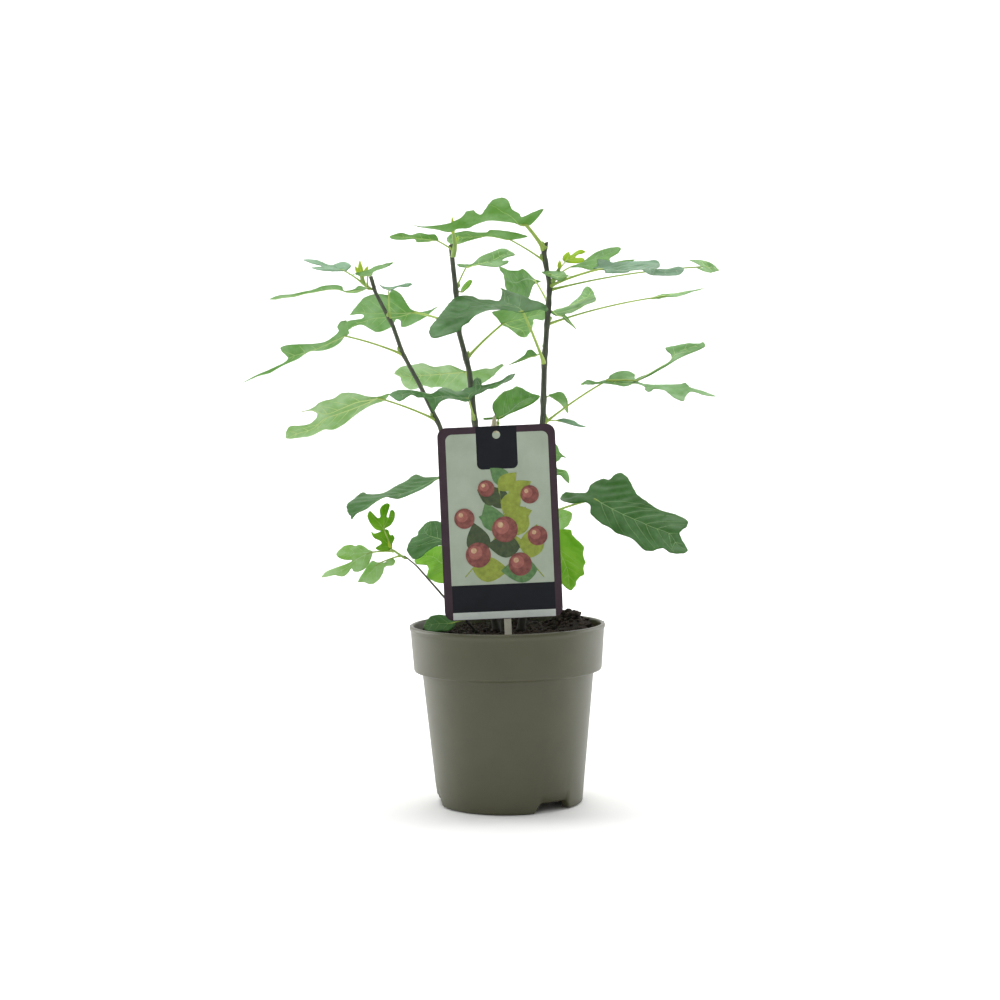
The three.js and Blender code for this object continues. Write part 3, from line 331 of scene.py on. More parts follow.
class Sculpture:
    """A piece in the making: one bmesh, in millimetres from the pot's axis, with its surfaces."""

    def __init__(self, name: str) -> None:
        """Starts an empty piece.

        Args:
            name: The piece's name.
        """
        self.name = name
        self.mesh = bmesh.new()
        self.surfaces: list[Surface] = []

    def paint(
        self, faces: Iterable[bmesh.types.BMFace], surface: Surface, smooth: bool = True
    ) -> None:
        """Gives faces a surface.

        Args:
            faces: The faces to paint.
            surface: Their finish.
            smooth: Whether they shade smoothly.
        """
        if surface not in self.surfaces:
            self.surfaces.append(surface)
        index = self.surfaces.index(surface)
        for face in faces:
            face.material_index = index
            face.smooth = smooth

    def wrap(
        self, columns: int, rows: int, place: Place, surface: Callable[[int], Surface]
    ) -> None:
        """Bends a grid into a shape and welds its seam and its poles.

        Args:
            columns: How many faces go round.
            rows: How many faces go along.
            place: Gives the point of a column and a row.
            surface: Gives the finish of a row of faces.
        """
        grid = bmesh.ops.create_grid(
            self.mesh, x_segments=columns, y_segments=rows, size=1.0
        )["verts"]
        row_of: dict[bmesh.types.BMVert, int] = {}
        for vert in grid:
            column = round((vert.co.x + 1) / 2 * columns)
            row = round((vert.co.y + 1) / 2 * rows)
            row_of[vert] = row
            vert.co = place(column % columns, row)
        for face in faces_of(grid):
            self.paint([face], surface(min(row_of[vert] for vert in face.verts)))
        bmesh.ops.remove_doubles(self.mesh, verts=grid, dist=WELD)

    def tube(
        self,
        spots: Sequence[Vector],
        radii: Sequence[float],
        sides: int,
        surface: Surface,
        shape: Optional[Callable[[float, float], float]] = None,
    ) -> None:
        """Runs a closed tube through points.

        Args:
            spots: The centre line.
            radii: The radius at each point.
            sides: Faces round the tube.
            surface: Its finish.
            shape: Scales the radius from the angle in radians and the share of the length.
        """
        last = len(spots) - 1
        across = [self._frame(spots, i) for i in range(last + 1)]

        def place(column: int, row: int) -> Vector:
            """Gives a point of the tube's wall, or of the middle of an end."""
            i = min(max(row - 1, 0), last)
            if row in (0, last + 2):
                return spots[i]
            angle = math.tau * column / sides
            reach = radii[i] * (shape(angle, i / last) if shape else 1.0)
            side, up = across[i]
            return spots[i] + side * (math.cos(angle) * reach) + up * (math.sin(angle) * reach)

        self.wrap(sides, last + 2, place, lambda row: surface)

    def soften(
        self, verts: Sequence[bmesh.types.BMVert], reach: float, segments: int
    ) -> list[bmesh.types.BMFace]:
        """Rounds the edges of a block.

        Args:
            verts: Its vertices.
            reach: How far the rounding reaches.
            segments: Faces across the rounding.

        Returns:
            The rounding's faces.
        """
        edges = list(dict.fromkeys(edge for vert in verts for edge in vert.link_edges))
        return bmesh.ops.bevel(
            self.mesh, geom=edges, offset=reach, offset_type="OFFSET", segments=segments,
            profile=0.5, affect="EDGES", material=-1,
        )["faces"]

    def absorb(self, other: "Sculpture") -> None:
        """Takes over all of another piece and frees it.

        Args:
            other: The other piece.
        """
        indices = []
        for surface in other.surfaces:
            if surface not in self.surfaces:
                self.surfaces.append(surface)
            indices.append(self.surfaces.index(surface))
        for face in other.mesh.faces:
            face.material_index = indices[face.material_index]
        data = bpy.data.meshes.new(other.name)
        other.mesh.to_mesh(data)
        other.mesh.free()
        self.mesh.from_mesh(data)
        bpy.data.meshes.remove(data)

    @staticmethod
    def _frame(spots: Sequence[Vector], i: int) -> tuple[Vector, Vector]:
        """Finds two directions across a line at a point.

        Args:
            spots: The line.
            i: The point's index.

        Returns:
            A level direction and the one square to it and to the line.
        """
        along = (spots[min(i + 1, len(spots) - 1)] - spots[max(i - 1, 0)]).normalized()
        helper = Vector((0, 0, 1)) if abs(along.z) < 0.95 else Vector((0, 1, 0))
        side = along.cross(helper).normalized()
        return side, side.cross(along).normalized()

    def finish(self, shop: Workshop, slot: str, *nodes: str) -> None:
        """Turns the bmesh into a piece that rides on the object's body.

        Args:
            shop: Makes the materials.
            slot: Not used.
            nodes: The nodes that the piece stands for.
        """
        bmesh.ops.recalc_face_normals(self.mesh, faces=self.mesh.faces)
        bmesh.ops.translate(self.mesh, verts=self.mesh.verts, vec=shop.offset)
        bmesh.ops.scale(self.mesh, verts=self.mesh.verts, vec=(MM, MM, MM))
        data = bpy.data.meshes.new(self.name)
        self.mesh.to_mesh(data)
        triangles = sum(len(face.verts) - 2 for face in self.mesh.faces)
        self.mesh.free()
        for surface in self.surfaces:
            data.materials.append(shop.material(surface))
        piece = bpy.data.objects.new(self.name, data)
        bpy.context.scene.collection.objects.link(piece)
        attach(piece, BODY)
        if nodes:
            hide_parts(*nodes)
        log.info("%s: %d triangles", self.name, triangles)


def toward(bearing: float, rise: float) -> Vector:
    """Gives a direction.

    Args:
        bearing: Degrees in plan from +X towards +Y.
        rise: Degrees above level.

    Returns:
        A unit vector.
    """
    turn, climb = math.radians(bearing), math.radians(rise)
    level = math.cos(climb)
    return Vector((level * math.cos(turn), level * math.sin(turn), math.sin(climb)))


def ease(share: float) -> float:
    """Eases from 0 to 1.

    Args:
        share: From 0 to 1, clamped.

    Returns:
        The eased share.
    """
    share = min(max(share, 0.0), 1.0)
    return share * share * (3 - 2 * share)


@dataclass
class Maker:
    """Builds one part of the object.

    Attributes:
        shop: Makes the materials.
    """

    shop: Workshop


# ---------------------------------------------------------------- stems


@dataclass(frozen=True)
class Limb:
    """A stem or twig.

    Attributes:
        way: Points from the cut foot to the tip, as (height, x, y).
        foot: Radius at the foot.
        tip: Radius at the tip.
        bark: Its finish.
        flared: Whether its foot widens into the soil.
    """

    way: tuple[tuple[float, float, float], ...]
    foot: float
    tip: float
    bark: Surface = Surface.BARK
    flared: bool = True

    @property
    def low(self) -> float:
        """Height of the foot."""
        return self.way[0][0]

    @property
    def high(self) -> float:
        """Height of the tip."""
        return self.way[-1][0]

    def centre(self, height: float) -> Vector:
        """Gives the middle of the limb at a height.

        Args:
            height: The height, held within the limb.

        Returns:
            The middle.
        """
        height = min(max(height, self.low), self.high)
        for (z0, x0, y0), (z1, x1, y1) in zip(self.way, self.way[1:]):
            if height <= z1:
                share = (height - z0) / (z1 - z0)
                return Vector((x0 + (x1 - x0) * share, y0 + (y1 - y0) * share, height))
        z1, x1, y1 = self.way[-1]
        return Vector((x1, y1, z1))

    def radius(self, height: float) -> float:
        """Gives the limb's radius without its swellings.

        Args:
            height: The height.

        Returns:
            The radius.
        """
        share = (height - self.low) / (self.high - self.low)
        return self.foot + (self.tip - self.foot) * min(max(share, 0.0), 1.0)


def twig(foot: float, tip: float, *way: tuple[float, float, float]) -> Limb:
    """Describes a green twig that leaves a limb.

    Args:
        foot: Radius at the foot.
        tip: Radius at the tip.
        way: Points from the foot to the tip, as (height, x, y).

    Returns:
        The twig.
    """
    return Limb(way, foot, tip, Surface.GREEN_BARK, False)


SOIL_LEVEL = 113.0
# Stems start a little above the mix.
CUT_LEVEL = SOIL_LEVEL + 0.3
# How far a stalk runs on into its blade, and the share of a limb's radius where it starts.
SUNK = 3.0
ROOTED = 0.55
# The length of a blade whose stalk and veins have their full width.
FULL_BLADE = 60.0

LIMBS: dict[str, Limb] = {
    "left": Limb((
        (CUT_LEVEL, -7, 5), (150, -14, 6), (200, -27, 9), (250, -43, 12), (276, -55, 14),
        (299, -67, 15), (317, -73, 16), (340, -84.5, 17), (351, -87.5, 18),
    ), 2.15, 1.35),
    "middle": Limb((
        (CUT_LEVEL, -1, -6), (180, -11, -6), (250, -19, -6), (287, -22.5, -7), (311, -28.5, -8),
        (336, -30, -9), (369, -33, -11),
    ), 2.5, 1.5),
    "right": Limb((
        (CUT_LEVEL, 9, 3), (180, 19, 4), (250, 25.7, 3), (290, 27.3, 2), (311, 29, 1),
        (330, 30.7, 0), (342, 31.5, -1), (354, 29.3, -1.5), (363, 28, -2), (370, 29.5, -2.5),
    ), 2.3, 1.6),
    "back": Limb(((CUT_LEVEL, 0, 14), (180, -8, 18), (230, -7, 21), (251, -6, 22)), 2.4, 1.6),
    "low": Limb((
        (CUT_LEVEL, -20, -4), (127, -32, -8), (139, -42.5, -10), (159, -59, -14), (166, -67, -15.7),
    ), 1.1, 0.75, Surface.SHOOT_BARK),
    "left_twig": twig(1.7, 1.2, (341.5, -87, 19.5), (346, -92.5, 20.5), (353, -94, 20)),
    "middle_twig": twig(1.6, 1.1, (360, -31.5, -13.5), (368, -30, -16), (376, -31, -16)),
    "right_twig": twig(1.6, 1.1, (343, 33, -1), (350, 36.8, -2), (353, 38, -2.7)),
    "low_twig": twig(1.3, 1.0, (163.5, -65.5, -15.4), (167.5, -71, -17), (171, -75.5, -18)),
}
# How far up a stem's foot the painted shade reaches.
FOOT_SHADE_HEIGHT = 14.0
# These end in a cut.
PRUNED = ("left", "middle", "right", "back")


@dataclass
class Stems(Maker):
    """The woody stems: bark with leaf scars and lenticels, and cut tops.

    Attributes:
        node_heights: The heights on each limb where leaves stand.
        sides: Faces round a stem.
        step: The height of a face.
        spots_each_mm: How many lenticels stand on a millimetre of stem.
    """

    node_heights: dict[str, list[float]]
    sides: int = 28
    step: float = 1.1
    spots_each_mm: float = 0.16

    def build(self) -> None:
        """Models every stem as one joined mesh, and the lenticels as another."""
        wood = Sculpture("woody_stems")
        for name in LIMBS:
            self._limb(wood, name)
        stems = (name for name in LIMBS if not name.endswith("_twig"))
        wood.finish(self.shop, "bark", *(f"stem_{name}" for name in stems))
        spots = Sculpture("lenticels")
        rng = random.Random(11)
        for name in PRUNED:
            self._lenticels(spots, LIMBS[name], rng)
        spots.finish(self.shop, "bark")

    def surface_radius(self, name: str, height: float, angle: float) -> float:
        """Gives the bark's distance from the limb's middle.

        Args:
            name: The limb's name.
            height: The height.
            angle: Radians round the limb.

        Returns:
            The distance.
        """
        limb = LIMBS[name]
        radius = limb.radius(height)
        flare = 0.5 * math.exp(-(height - limb.low) / 8) if limb.flared else 0.0
        swell = 0.0
        for node in self.node_heights.get(name, []):
            # Each leaf stands on a swelling with a thin ring under it.
            for tall, drop, spread in ((0.2, 0.0, 2.6), (0.05, 1.6, 0.5)):
                swell = max(swell, tall * math.exp(-(((height - node + drop) / spread) ** 2)))
        grain = noise.noise(Vector((math.cos(angle) * 1.7, math.sin(angle) * 1.7, height * 0.09)))
        fine = noise.noise(Vector((math.cos(angle) * 5, math.sin(angle) * 5, height * 0.5)))
        return radius * (1 + flare + swell + 0.05 * grain + 0.025 * fine)

    def _limb(self, wood: Sculpture, name: str) -> None:
        """Models one stem from level rings.

        Args:
            wood: The joined mesh.
            name: The limb's name.
        """
        limb = LIMBS[name]
        count = max(6, int((limb.high - limb.low) / self.step))
        cut = name in PRUNED

        def place(column: int, row: int) -> Vector:
            """Gives a point of the bark, or of the middle of an end."""
            height = limb.low + (limb.high - limb.low) * min(max(row - 1, 0), count) / count
            centre = limb.centre(height)
            if row in (0, count + 2):
                return centre
            angle = math.tau * column / self.sides
            reach = self.surface_radius(name, height, angle)
            close = (limb.high - height) / limb.tip
            if close < 1:
                reach *= 0.94 + 0.06 * close if cut else 0.5 + 0.5 * math.sqrt(1 - (1 - close) ** 2)
            drop = 0.35 * limb.tip * (1 - math.cos(angle)) if cut and row == count + 1 else 0.0
            return centre + Vector((math.cos(angle) * reach, math.sin(angle) * reach, -drop))

        def surface(row: int) -> Surface:
            """Gives a ring's finish: the cut top, painted shade near the soil, or plain bark."""
            if cut and row == count + 1:
                return Surface.CUT_WOOD
            # The lowest rings get the painted shade.
            in_shade = limb.flared and (row - 1) * (limb.high - limb.low) < FOOT_SHADE_HEIGHT * count
            return Surface.SHADED_BARK if in_shade else limb.bark

        wood.wrap(self.sides, count + 2, place, surface)

    def _lenticels(self, spots: Sculpture, limb: Limb, rng: random.Random) -> None:
        """Sets small pale pores on a stem's bark.

        Args:
            spots: The joined mesh.
            limb: The stem.
            rng: The seeded generator.
        """
        for _ in range(int((limb.high - limb.low) * self.spots_each_mm)):
            height = rng.uniform(limb.low + 4, limb.high - 3)
            angle = rng.uniform(0, math.tau)
            out = Vector((math.cos(angle), math.sin(angle), 0))
            centre = limb.centre(height) + out * limb.radius(height)
            made = bmesh.ops.create_uvsphere(
                spots.mesh, u_segments=8, v_segments=5, radius=1.0
            )["verts"]
            size = (0.28, rng.uniform(0.3, 0.5), rng.uniform(0.35, 0.6))
            bmesh.ops.scale(spots.mesh, verts=made, vec=size)
            bmesh.ops.rotate(spots.mesh, verts=made, matrix=Matrix.Rotation(angle, 3, "Z"))
            bmesh.ops.translate(spots.mesh, verts=made, vec=centre)
            spots.paint(faces_of(made), Surface.BARK_SPOT)


# ---------------------------------------------------------------- leaves


class Outline(Enum):
    """The outlines of leaves, each from its stalk round by its tips and hollows.

    A tip or hollow is its angle from the midrib in degrees, then its reach and its height off the
    sheet's plane, both in hundredths of the blade's length. An outline that starts at 0 degrees
    is one half of an even leaf.
    """

    FORK = ((-118, 11, -1), (-101, 30, 2), (-75, 39, 4), (-53, 41, 2), (-25, 39, -2),
        (-17, 49, -1), (-13, 72, 1), (0, 100), (5, 75, -1), (4, 52, -2), (26, 74, 1), (40, 57, 2),
        (55, 35, 2), (60, 12), (180, 5))
    GULL = ((-75, 33, -4), (-79, 60, -3), (-72, 37, 2), (-32, 27, 5), (-13, 51, 6), (0, 100),
        (1, 83, -3), (0, 23, 1), (113, 18, 3), (148, 6, -1), (180, 5))
    RIBBON = ((-50, 8, -1), (-11, 17), (0, 25, 3), (0, 59, 2), (-1, 72), (-1, 83), (-2, 93),
        (0, 100), (4, 91, 1), (4, 78, 1), (6, 67, 2), (10, 58, 2), (16, 47, 4), (18, 32, 4),
        (19, 24, 2), (8, 21), (19, 10), (56, 9, 2), (117, 6), (180, 5))
    WISP = ((-116, 8, -1), (0, 38, 1), (-1, 78, -4), (0, 100), (1, 94, 4), (5, 79, 5), (3, 53, 5),
        (14, 27, 3), (52, 21, 2), (68, 47, 2), (73, 22, -3), (180, 5))
    LANCE = ((-102, 2), (-63, 8), (-45, 15, 1), (-15, 23), (0, 34), (-1, 46, -1), (-1, 58, -1),
        (-2, 72, -1), (-1, 83), (0, 100), (1, 85), (1, 59), (5, 55), (12, 60, 2), (17, 63, 3),
        (18, 55, 4), (13, 28, 1), (13, 17), (56, 10, 1), (66, 16, 2), (80, 18, 3), (100, 17, 2),
        (99, 12, 1), (180, 5))
    FISHTAIL = ((-128, 12), (-67, 10, 1), (-35, 18, 1), (-28, 31), (-29, 44), (-24, 56, -1),
        (-17, 63), (-15, 77), (-11, 86), (-5, 101), (0, 100), (5, 95), (2, 82), (1, 73), (5, 66),
        (11, 66), (15, 72, 1), (16, 86, 1), (18, 72, 1), (23, 63, 2), (28, 49, 2), (37, 44, 2),
        (42, 32, 1), (41, 14), (112, 3, -1), (179, 13, -1))
    HEEL = ((-5, 4, -1), (-4, 22), (-13, 34, -2), (-20, 51, -2), (-11, 75, -2), (-7, 78), (-5, 68),
        (-1, 80), (0, 100), (9, 94, 4), (13, 86, 5), (20, 41, 3), (14, 12, 2), (79, 13, -1),
        (108, 17, -1), (160, 11, 1))
    STRIP = ((-58, 8, 1), (-45, 23, 2), (-28, 40, 1), (-5, 46), (-10, 71, -1), (-6, 93, -1),
        (0, 100), (9, 81, 2), (9, 59, 1), (26, 49, 2), (35, 28, 3), (65, 19, 4), (180, 5))
    BROAD = ((-162, 24), (-150, 22), (-60, 24, -1), (-41, 31, -1), (-22, 23, -1), (-12, 27, -1),
        (-24, 39, -2), (-19, 63, -2), (-3, 78, -1), (-3, 90, -1), (-5, 102, -1), (0, 100), (4, 95),
        (5, 74, -1), (10, 70, -1), (11, 79, -1), (10, 90), (24, 78), (35, 71), (47, 58), (56, 45),
        (70, 48, -1), (78, 37, -1), (80, 23, -2), (85, 7, -1), (180, 10, -2), (-180, 24, -3),
        (177, 38, 1))
    VEIL = ((-180, 44, 2), (-167, 36, -1), (-131, 29, 2), (-97, 32, 2), (-75, 31), (-59, 42, -1),
        (-31, 50, -1), (-26, 62, -1), (-19, 69, -1), (-20, 80, -2), (-19, 89, -2), (-16, 93, -2),
        (-11, 95, -2), (-4, 94), (0, 100), (7, 89, 1), (10, 75, 2), (18, 57, 1), (12, 43, 2),
        (41, 22, -1), (55, 3), (172, 10), (168, 27), (172, 37), (166, 53, 1), (169, 55, 1))
    SWEEP = ((-157, 78, 18), (-155, 69, 16), (-155, 56, 12), (-143, 33, 7), (-135, 40, 9),
        (-128, 42, 9), (-124, 36, 7), (-126, 26, 4), (-112, 22, 3), (-97, 20, -1), (-80, 21, -4),
        (-73, 31, -5), (-63, 35, -5), (-11, 39, 4), (-2, 49, 3), (-6, 71, 3), (-6, 86, 2), (0, 100),
        (4, 98), (7, 93, -1), (1, 73, 2), (5, 68, 1), (5, 60, 1), (9, 57), (19, 61, -1),
        (25, 63, -3), (21, 52), (15, 42, 1), (13, 31, 3), (23, 18, 1), (45, 12), (86, 5, 1),
        (-180, 7, 5), (179, 17, 10), (-180, 29, 22), (-180, 38, 22), (180, 46, 26))
    APRON = ((-116, 48, 5), (-88, 66, 2), (-68, 90), (-41, 89, -2), (-43, 68, 1), (-29, 75),
        (-13, 87, -2), (0, 100), (5, 83, 1), (10, 29), (33, 13, -1), (137, 8, -2), (177, 30),
        (-180, 51, 7))
    SPINDLE = ((-131, 5), (-4, 36, -5), (-2, 75, -6), (0, 100), (4, 95, 3), (10, 66, 1),
        (19, 29, -1), (180, 5))
    BENT = ((-180, 28, -3), (-174, 26), (-160, 24, 1), (-135, 24), (-125, 26, 1), (-105, 31, 1),
        (-87, 47, 1), (-87, 42), (-67, 31, -1), (-59, 40, -1), (-53, 48, -1), (-54, 55), (-52, 62),
        (-49, 67), (-45, 71, -1), (-34, 74, -1), (-11, 87, 1), (-5, 95, 1), (0, 100), (4, 101, -1),
        (6, 98, -1), (5, 70, -1), (2, 66), (0, 58, 1), (0, 53, 6), (0, 47, 9), (0, 39, 10),
        (0, 25, 8), (0, 12, 4), (32, 4), (167, 18), (159, 24))
    KITE = ((-29, 5), (-20, 44, 3), (-14, 52, 5), (-10, 76, 8), (-10, 103, 12), (-8, 103, 11),
        (-5, 95, 7), (0, 100), (4, 97, -2), (9, 83, -6), (15, 66, -11), (20, 49, -15), (17, 14, -5),
        (176, 15, -2))
    DRIP = ((-78, 13, 2), (-61, 31, 3), (-46, 41, 3), (-24, 43, 1), (-6, 68), (0, 100), (2, 55),
        (2, 9, 2), (180, 5))
    CROWN = ((-78, 4, 1), (-1, 9, 1), (0, 19, 3), (0, 31, 4), (0, 42, 1), (-6, 50), (-6, 58),
        (-8, 65, -1), (-5, 76), (-3, 88), (0, 100), (0, 91, -2), (0, 79, -1), (2, 66), (8, 59, 1),
        (15, 59, 1), (19, 54, 1), (17, 51, 1), (16, 45, 1), (36, 49, 1), (43, 48, 1), (49, 45),
        (51, 41, -1), (48, 29, -1), (55, 19, -1), (55, 11, 1), (91, 16), (107, 25, -3), (180, 5))
    SADDLE = ((-44, 5), (0, 16, 3), (0, 34, 5), (0, 52, 1), (-12, 95, -1), (-8, 100, -1), (0, 100),
        (11, 92), (24, 70), (26, 51), (37, 39), (51, 41), (73, 25, 3), (141, 23, 3), (163, 33))
    PADDLE = ((-78, 5, -1), (-63, 20), (-66, 40, -1), (-61, 57, -1), (-53, 76, -1), (-46, 100),
        (-40, 116, 2), (-38, 95, 1), (-44, 76, 2), (-23, 69), (-7, 88, -2), (0, 100), (4, 99, 2),
        (9, 89, 3), (13, 73, 4), (15, 59, 4), (9, 29, 1), (6, 15), (180, 5))
    TWIN = ((-179, 8, 1), (-16, 7, -1), (-39, 16, -3), (-9, 37, -2), (-2, 38), (-2, 50),
        (-9, 62, -3), (-9, 69, -5), (-4, 98, -4), (0, 100), (3, 94, 2), (3, 88, 2), (2, 80),
        (0, 67, 1), (2, 70, 2), (48, 70, -2), (52, 67, 1), (56, 58, 1), (81, 26, 3), (100, 24, 6),
        (122, 22, 7), (133, 7, 3))
    PINCER = ((-176, 15, -3), (-180, 53, -8), (-166, 51, -7), (-154, 66, -3), (-1, 84, -4),
        (0, 100), (5, 76, 5), (17, 56, 7), (33, 61, 3), (43, 69, -4), (167, 75), (167, 50),
        (173, 30, 1))
    SLIVER = ((-174, 30, -2), (-146, 6, -2), (-117, 22, -3), (-114, 55, 1), (-111, 70, 4),
        (0, 100), (6, 40, 1), (16, 15, 3), (64, 21, 4), (72, 50, -3))
    CUT = ((-112, 6, -1), (-36, 8, -1), (-18, 20), (0, 26, 1), (-2, 35), (-13, 38), (-15, 43, -1),
        (-5, 45), (-4, 54), (-15, 68), (-15, 77, -1), (-7, 75), (0, 77, 1), (-1, 90), (0, 100),
        (5, 87), (10, 75), (19, 71), (15, 65), (12, 53), (10, 33), (31, 27), (47, 30, 2),
        (58, 26, 4), (71, 18, 4), (87, 9, 2), (83, 4, 1), (179, 8, -2), (180, 17, -1),
        (180, 24, -8))
    TAIL = ((-44, 3), (-1, 41, -1), (0, 58, 1), (0, 100), (5, 101, 1), (5, 97, 1), (11, 86, 2),
        (21, 71, 1), (26, 63, 1), (11, 58), (6, 50), (5, 37), (8, 19), (49, 5), (180, 5))
    WING = ((-135, 13, -4), (-124, 27, -5), (-127, 48, -10), (-127, 86, -18), (-120, 45, -8),
        (-116, 33, -3), (-114, 50, -1), (-108, 68, 6), (-105, 91, 9), (-3, 95, -5), (0, 100),
        (3, 99, 7), (4, 92, 7), (3, 73, 2), (0, 26, -4), (4, 12), (180, 5))
    HOOK = ((-125, 17, 6), (-120, 45, 12), (-113, 60, 11), (-104, 75, -1), (-2, 89, 8), (0, 100),
        (2, 57, 6), (9, 32, 7), (10, 10, 1), (180, 5))
    BLADE = ((-16, 10), (-5, 30, -1), (-8, 57), (-4, 83, -1), (0, 100), (5, 70, 1), (15, 61, 2),
        (36, 29, 3), (180, 5))
    CLAW = ((-63, 19), (-46, 50), (-36, 75), (-26, 85), (-16, 75), (-2, 47, -1), (0, 61, 5),
        (-1, 82, -1), (0, 100), (13, 92, 2), (22, 73, 1), (31, 41, -1), (47, 56, 1), (57, 51, 3),
        (78, 36, 2), (110, 20), (180, 5))
    DART = ((-179, 22), (-38, 17, -4), (-11, 54, -11), (-5, 65, -9), (-2, 73, -2), (0, 100),
        (1, 69, 2), (106, 56, -4), (112, 31, 2), (150, 17, 6), (178, 30, 4))
    DROP = ((-103, 4), (-9, 19, -1), (-5, 72, -1), (0, 100), (10, 93), (28, 92, 1), (33, 79, 2),
        (43, 67, 2), (66, 39, 1), (79, 26), (123, 9), (146, 29), (156, 30), (163, 16))
    RAMP = ((-72, 8), (-58, 16), (-65, 30), (-44, 34, -1), (-29, 43, -1), (-14, 58, 1), (-19, 71),
        (-25, 76), (-18, 85), (-10, 95, 1), (0, 100), (4, 101), (8, 104, -1), (4, 94), (4, 82),
        (0, 60, 2), (10, 51, -1), (19, 27, -1), (27, 15), (29, 3, 1), (180, 5))
    SHIELD = ((-133, 32, 1), (-126, 23), (-117, 10), (-85, 10), (-72, 19, -1), (-49, 30, -1),
        (-37, 36, -1), (-32, 43, -2), (-22, 56, -1), (-20, 71, -2), (-16, 76, -2), (-9, 81, -1),
        (-9, 90), (-3, 99), (0, 100), (10, 85), (17, 89), (23, 89, -1), (27, 76, -1), (29, 62, -1),
        (38, 51, -1), (51, 44, -1), (77, 46, 2), (87, 46, 2), (91, 39, 2), (93, 31, 1),
        (103, 29, 1), (118, 23), (133, 18), (163, 11), (180, 20, -5), (-180, 30, -11),
        (180, 33, -20))
    ROUND_LOBES = ((-139, 11), (-67, 33), (-43, 64, 3), (-28, 85, 2), (-22, 86), (-16, 84),
        (-10, 81), (-6, 75), (1, 83), (21, 80), (31, 74, -2), (43, 67, -3), (50, 60, -3),
        (53, 49, -2), (50, 40), (39, 22), (46, 11), (143, 13))
    TWO_LOBES = ((-74, 23), (-37, 63), (-16, 85, 2), (0, 100), (8, 88), (10, 60), (20, 52),
        (43, 50), (80, 40, -3), (104, 39, -3), (132, 40), (156, 29))
    SPUR = ((-140, 13), (-88, 19), (-56, 31), (-23, 43), (1, 56), (1, 71), (20, 56), (35, 61),
        (50, 65), (64, 49), (80, 23))
    CROOK = ((-100, 6), (-6, 17), (32, 39), (30, 57), (26, 64), (2, 80), (14, 88), (25, 94),
        (32, 95), (44, 75), (53, 80), (64, 73), (69, 38))
    DISC = ((-96, 19), (-72, 31), (-43, 44), (-27, 54), (-14, 64), (11, 84), (20, 82), (30, 70),
        (40, 56), (55, 41), (74, 19))
    SCALLOP = ((-88, 31, 3), (-46, 48, 1), (-24, 73), (-9, 90), (0, 100), (10, 91), (17, 80),
        (34, 78), (41, 69), (54, 67), (67, 58), (86, 61), (119, 46, 1), (128, 52, 1), (148, 42),
        (180, 35, -3))
    LOW_LOBE = ((-124, 22), (-48, 51, 2), (-30, 76), (-16, 87), (-2, 100), (8, 98), (19, 73),
        (56, 33), (118, 10))
    TRIDENT = ((-60, 8, 1), (-55, 30), (-39, 56, -1), (-28, 73), (-17, 81, -1), (-12, 73),
        (-15, 47, 1), (-6, 49), (-7, 95), (0, 100), (10, 95, -1), (19, 77), (23, 50), (34, 52, -1),
        (42, 91), (54, 85, 1), (67, 62), (89, 35, -1), (111, 18), (180, 5))
    FRILL = ((-73, 18, 1), (-74, 43, 1), (-61, 56, 1), (-49, 52, 1), (-45, 75, 2), (-29, 80),
        (-17, 75), (0, 85, -2), (0, 100), (8, 86), (15, 71, 1), (13, 48), (23, 39), (51, 65),
        (61, 57, -2), (95, 22, -2), (180, 5))
    THUMB = ((-96, 8, 1), (-84, 19, 2), (-75, 29, 2), (-66, 32, 1), (-65, 42, 1), (-56, 52),
        (-36, 61, -1), (-24, 57), (-13, 47), (-3, 36, 1), (-1, 49, 1), (-5, 85), (0, 100), (3, 94),
        (7, 80), (17, 71, -1), (19, 61), (17, 48, 1), (24, 52), (35, 48, -1), (49, 35, -1),
        (67, 15, 1), (180, 5))
    SPOON = ((-71, 12), (-74, 33, -1), (-23, 55, -1), (0, 100), (16, 90, 1), (28, 92, -1),
        (40, 84, -1), (52, 68, -1), (69, 44), (88, 29), (107, 33, -1), (118, 51, -1), (136, 57, 1),
        (153, 48, 1), (156, 33), (135, 18, 1), (180, 5))
    HAND = ((0, 100), (20, 55), (40, 86), (62, 42), (88, 60), (125, 40), (150, 38), (180, 10))
    MITTEN = ((0, 100), (28, 55), (50, 80), (85, 42), (120, 45), (150, 36), (180, 10))
    WIDE = ((0, 100), (12, 80), (30, 85), (48, 62), (75, 66), (105, 50), (145, 60), (180, 25))


class Tint(Enum):
    """The colours of a leaf: its upper side, lower side, and veins. BLUE and SLATE carry a painted
    sheen, and DEEP and DARK painted shade.
    """

    MID = (Surface.MID, Surface.MID_UNDER, Surface.MID_VEIN)
    SOFT = (Surface.SOFT, Surface.SOFT_UNDER, Surface.SOFT_VEIN)
    PALE = (Surface.MID, Surface.PALE_UNDER, Surface.PALE_VEIN)
    BLUE = (Surface.BLUE, Surface.BLUE_UNDER, Surface.BLUE_VEIN)
    SLATE = (Surface.SLATE, Surface.BLUE_UNDER, Surface.BLUE_VEIN)
    VIVID = (Surface.VIVID, Surface.MID_UNDER, Surface.DEEP_VEIN)
    DEEP = (Surface.DEEP, Surface.DEEP_UNDER, Surface.DEEP_VEIN)
    DARK = (Surface.DARK, Surface.DARK_UNDER, Surface.DARK_VEIN)
    FRESH = (Surface.FRESH, Surface.FRESH_UNDER, Surface.FRESH_VEIN)
    LIGHT = (Surface.LIGHT, Surface.LIGHT, Surface.LIGHT_VEIN)
    YOUNG = (Surface.YOUNG, Surface.YOUNG, Surface.YOUNG_VEIN)


